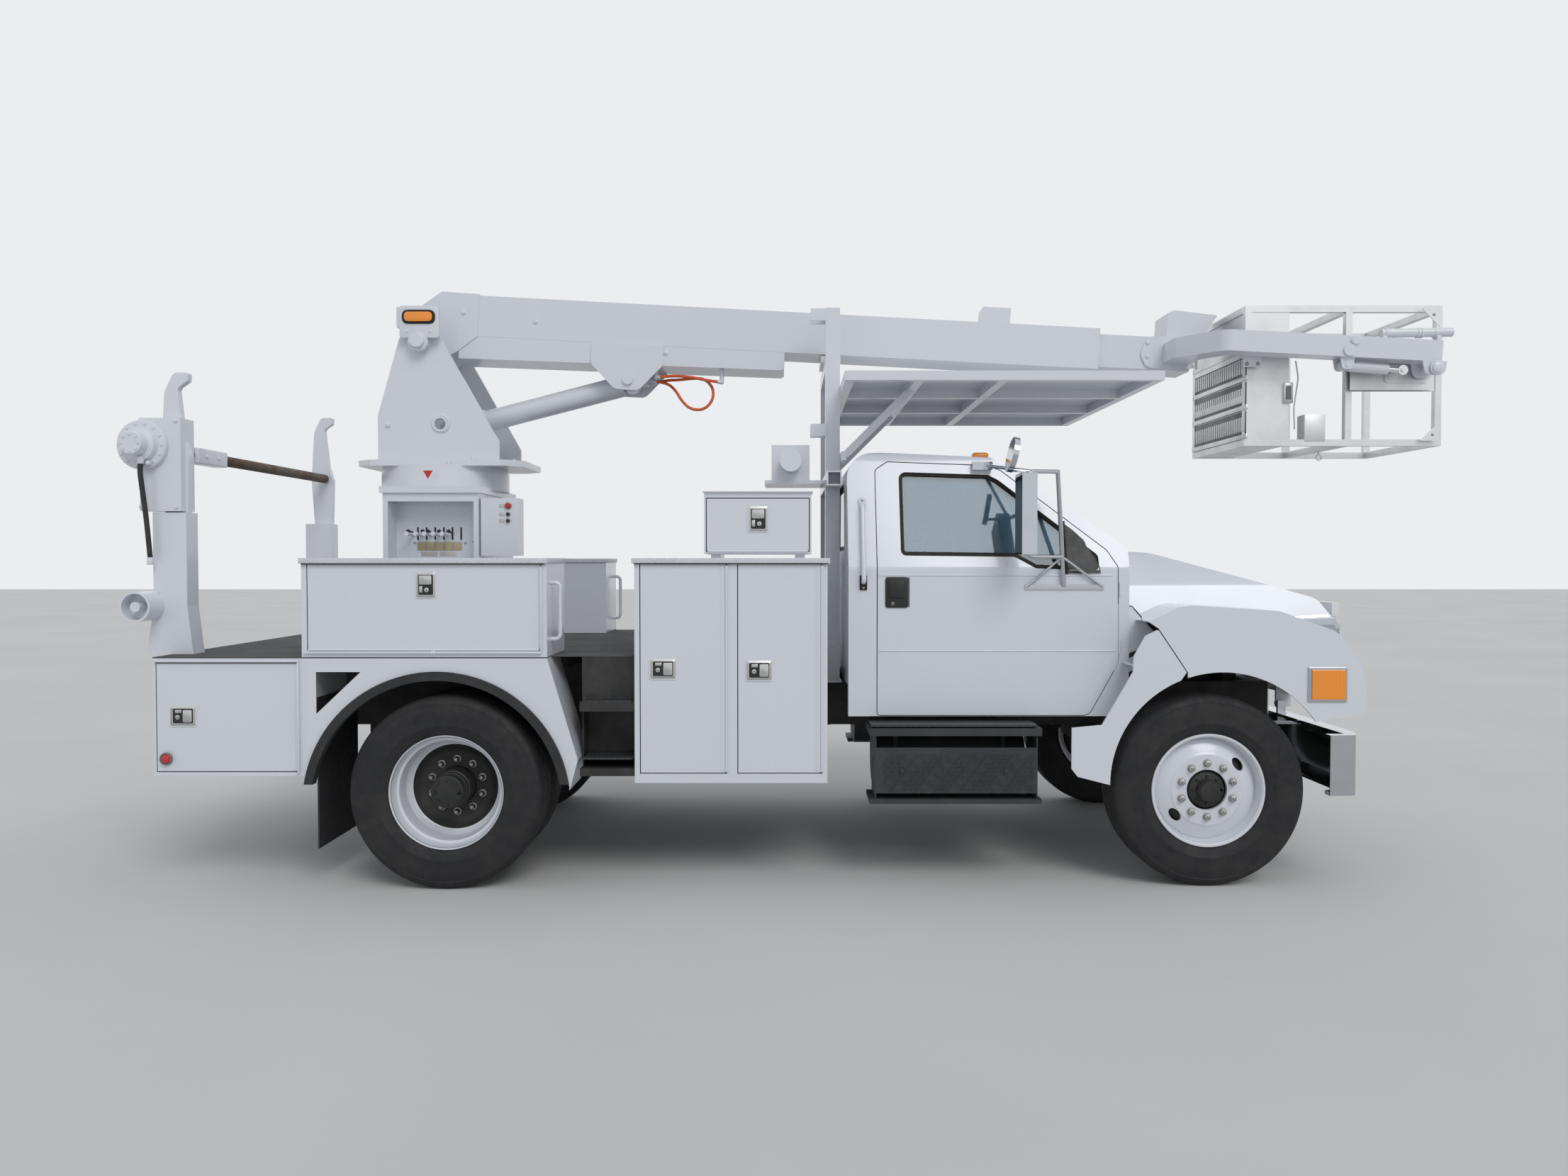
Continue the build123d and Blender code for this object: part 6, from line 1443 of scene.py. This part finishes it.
def reelDrive():
    x, z, face = station(reelLook["station"]), reelLook["height"], reelLook["face"]
    parts = [(turned(housing, (x, face, z), -1), "boom")]
    for reach, radius, count, size in reelLook["boltRings"]:
        y = face - reach
        bolt = peg(x + radius, y, z, 0.004, -0.009, size, 6, 0.0015)
        parts += [(item, "boom") for item in ring((x, y, z), count, bolt)]
        bpy.data.objects.remove(bolt)
    for dx, dz in reelLook["ports"]:
        parts.append((peg(x + dx, face, z + dz, -0.028, -0.064, 0.012, 12, 0.002), "boom"))
    for dx, dz in reelLook["plateBolts"]:
        parts.append((boltHead(x + dx, face, z + dz, -1, 0.009, 0.008), "boom"))
    drop = [
        Vector((x + 0.02, -1.115, z - 0.085)),
        Vector((x + 0.014, -1.112, z - 0.15)),
        Vector((x + 0.030, -1.085, z - 0.40)),
        Vector((x + 0.045, -1.078, z - 0.62)),
    ]
    parts.append((pipe(drop, 0.013, corner=0.06), "flap"))
    half = Vector((0, 0, 0.02))
    for spot in (drop[0], drop[-1]):
        parts.append((pole(spot - half, spot + half, 0.018, 6, 0.002), "boom"))
    assemble("reelDrive", parts, "truck")


reelDrive()

# the take-up bar in its square sleeve, with clamp pins
barLook = {"sleeve": (-0.888, -0.560), "bar": (-0.60, 0.93), "end": (-0.90, -0.86), "pins": (-0.80, -0.66)}


def reelSleeve():
    x, _, z = middleOf("reel_spindle")
    near, far = barLook["sleeve"]
    sleeve = block((x - 0.043, near, z - 0.043), (x + 0.043, far, z + 0.043), 0.006, 3)
    parts = [(sleeve, "boom"), (peg(x, 0, z, *barLook["bar"], 0.030, 32, 0.002), "rust")]
    for y in barLook["pins"]:
        parts.append((pole((x - 0.052, y, z), (x + 0.052, y, z), 0.009, 12, 0.001), "boom"))
    parts.append((peg(x, 0, z, *barLook["end"], 0.026, 24, 0.002), "steel"))
    assemble("reelBar", parts, "truck", ["reel_spindle"])


reelSleeve()
print("reel drive fitted")

# platform: ridged grip planks on its rear face, sheets, gussets and boxes
basketLook = {
    "rows": 3,
    "pitch": 0.170,
    "ribs": 24,
    "rib": (0.012, 0.016, 0.088),
    "foot": 0.055,
    "rail": 0.014,
    "gusset": 0.105,
    "gussets": ((5.600, 2.432, 1), (5.600, 3.200, -1)),
}
sheetShape = [(5.085, 2.728), (5.575, 2.728), (5.575, 2.985), (5.085, 2.985)]
bracketShape = [(4.455, 2.860), (4.560, 2.860), (4.560, 2.940), (4.500, 3.000), (4.455, 3.000)]
wireRun = [(4.770, 0.02, 2.90), (4.785, 0.016, 2.80), (4.760, 0.016, 2.62), (4.768, 0.02, 2.50)]
hookRun = [(5.105, 2.420), (5.105, 2.396), (5.085, 2.372), (5.105, 2.352), (5.128, 2.372), (5.108, 2.394)]
# a dark metal sheet that stands for the shade behind the planks' ribs
paint["plankShadeSheet"] = bareMetal("plankShade", (0.22, 0.22, 0.23), 0.5, (1.0, 20.0, 20.0), 0.8, 0.4)


def gripPlanks(low, high):
    # rails with ribbed planks between them, and a dark sheet behind each row of ribs as painted shade
    look, parts = basketLook, []
    deep, wide, tall = look["rib"]
    x, y0, y1, z0 = low.x, low.y + 0.035, high.y - 0.035, low.z + look["foot"]
    spacing = (y1 - y0 - wide) / (look["ribs"] - 1)

    def rail(z):
        half = look["rail"]
        bar = block((x - 0.004, low.y + 0.004, z - half), (x + 0.010, high.y - 0.004, z + half), 0.002)
        return bar, "aluminium"

    rib = block((x - 0.004, y0, z0 + 0.030), (x - 0.004 + deep, y0 + wide, z0 + 0.030 + tall), 0.0045, 3)
    for row in range(look["rows"]):
        z = z0 + row * look["pitch"]
        top = z + look["pitch"] - 0.020
        # the dark sheet behind the ribs is painted shade
        back = block((x + 0.003, y0 - 0.01, z + 0.014), (x + 0.008, y1 + 0.01, top), 0.001)
        parts.append((back, "plankShadeSheet"))
        for n in range(look["ribs"]):
            parts.append((again(rib, (0, n * spacing, row * look["pitch"])), "aluminium"))
        parts.append(rail(z))
    bpy.data.objects.remove(rib)
    parts.append(rail(z0 + look["rows"] * look["pitch"]))
    return parts


def basketDetails():
    low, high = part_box("basket")
    near, size = low.y, basketLook["gusset"]
    parts = gripPlanks(low, high)
    parts.append((plate(outline(sheetShape), near + 0.010, near + 0.013), "aluminium"))
    for x, z, up in basketLook["gussets"]:
        x = station(x)
        gusset = plate([(x, z), (x - size, z), (x, z + up * size)], near - 0.001, near + 0.004)
        parts.append((gusset, "aluminium"))
        parts.append((boltHead(x - 0.035, near, z + up * 0.035, -1, 0.006, 0.005), "steel"))
    parts += [
        (block(at(4.830, near + 0.030, 2.430), at(4.955, near + 0.130, 2.590), 0.006), "aluminium"),
        (block(at(4.705, near + 0.022, 2.655), at(4.760, near + 0.060, 2.775), 0.005), "stainless"),
        (block(at(4.716, near + 0.016, 2.675), at(4.748, near + 0.024, 2.755), 0.003), "grey"),
        (plate(outline(bracketShape), near - 0.004, near + 0.002, soft=0.001), "boom"),
    ]
    for x in (4.475, 4.540):
        parts.append((boltHead(station(x), near - 0.003, 2.878, -1, 0.008, 0.006), "steel"))
    parts.append((pipe([at(x, near + y, z) for x, y, z in wireRun], 0.004, corner=0.03), "blank"))
    parts.append((pipe([at(x, -0.05, z) for x, z in hookRun], 0.0035, corner=0.012), "stainless"))
    assemble("basketFittings", parts, "platform")


basketDetails()
print("platform fitted")

# arm end and boom: pin caps, spare tube with its bands, bolted plates and the thin steel line
armLook = {
    "pins": ((5.030, 2.985, 0.026), (5.493, 2.829, 0.030)),
    "tube": ((5.215, 3.041), (5.625, 3.047)),
    "tubeSide": -0.560,
    "bands": (5.235, 5.42, 5.44, 5.52),
    "feet": (5.23, 5.54),
}
boomLook = {
    "tipBolts": ((4.010, 3.068), (4.010, 2.985), (4.180, 3.090), (4.165, 2.960), (4.290, 2.930)),
    "bolts": ((-0.180, 3.245), (0.260, 3.190), (1.055, 3.000), (1.055, 2.880)),
    "line": (0.10, 0.80, 1.60, 2.40, 3.30),
}


def hitOn(names, x, z):
    # where the first of some solids faces the camera, if one does
    for name in names:
        y = onSide(name, x, z, -1)
        if abs(y) < 0.9:
            return y
    return None


def armCaps():
    parts = []
    for x, z, r in armLook["pins"]:
        y = hitOn(["platform_arm"], station(x), z)
        if y is not None:
            cap = [
                (0.0, 0.014), (r * 0.8, 0.014), (r, 0.010), (r, 0.002), (r * 1.35, 0.001), (r * 1.35, -0.004),
                (0.0, -0.004),
            ]
            parts.append((turned(cap, at(x, y, z), -1, segments=36), "boom"))
    y = armLook["tubeSide"]
    parts.append((pipe([at(x, y, z) for x, z in armLook["tube"]], 0.026, sides=8), "boom"))
    for x in armLook["bands"]:
        parts.append((pole(at(x, y, 3.042), (station(x) + 0.014, y, 3.042), 0.030, 28, 0.002), "boom"))
    for x in armLook["feet"]:
        x = station(x)
        parts.append((block((x - 0.012, -0.585, 2.985), (x + 0.012, -0.535, 3.025), 0.004), "boom"))
    assemble("armFittings", parts, "boom_extension")


armCaps()


def boltsOn(names, places, radius):
    heads = []
    for x, z in places:
        y = hitOn(names, station(x), z)
        if y is not None:
            heads.append((boltHead(station(x), y, z, -1, radius, 0.008), "boom"))
    return heads


tipBolts = boltsOn(("boom_tip", "platform_arm"), boomLook["tipBolts"], 0.010)
assemble("tipBolts", tipBolts, "boom_extension")


def boomFittings():
    parts = boltsOn(["boom_base"], boomLook["bolts"], 0.011)
    rows = [touch("boom_base", at(x, -0.06, 4.0), (0, 0, -1)) for x in boomLook["line"]]
    rows = [(spot.x, spot.y, spot.z + 0.004) for spot in rows if spot.z < 3.5]
    parts.append((pipe(rows, 0.004), "steel"))
    assemble("boomFittings", parts, "boom")


boomFittings()
print("boom fitted")
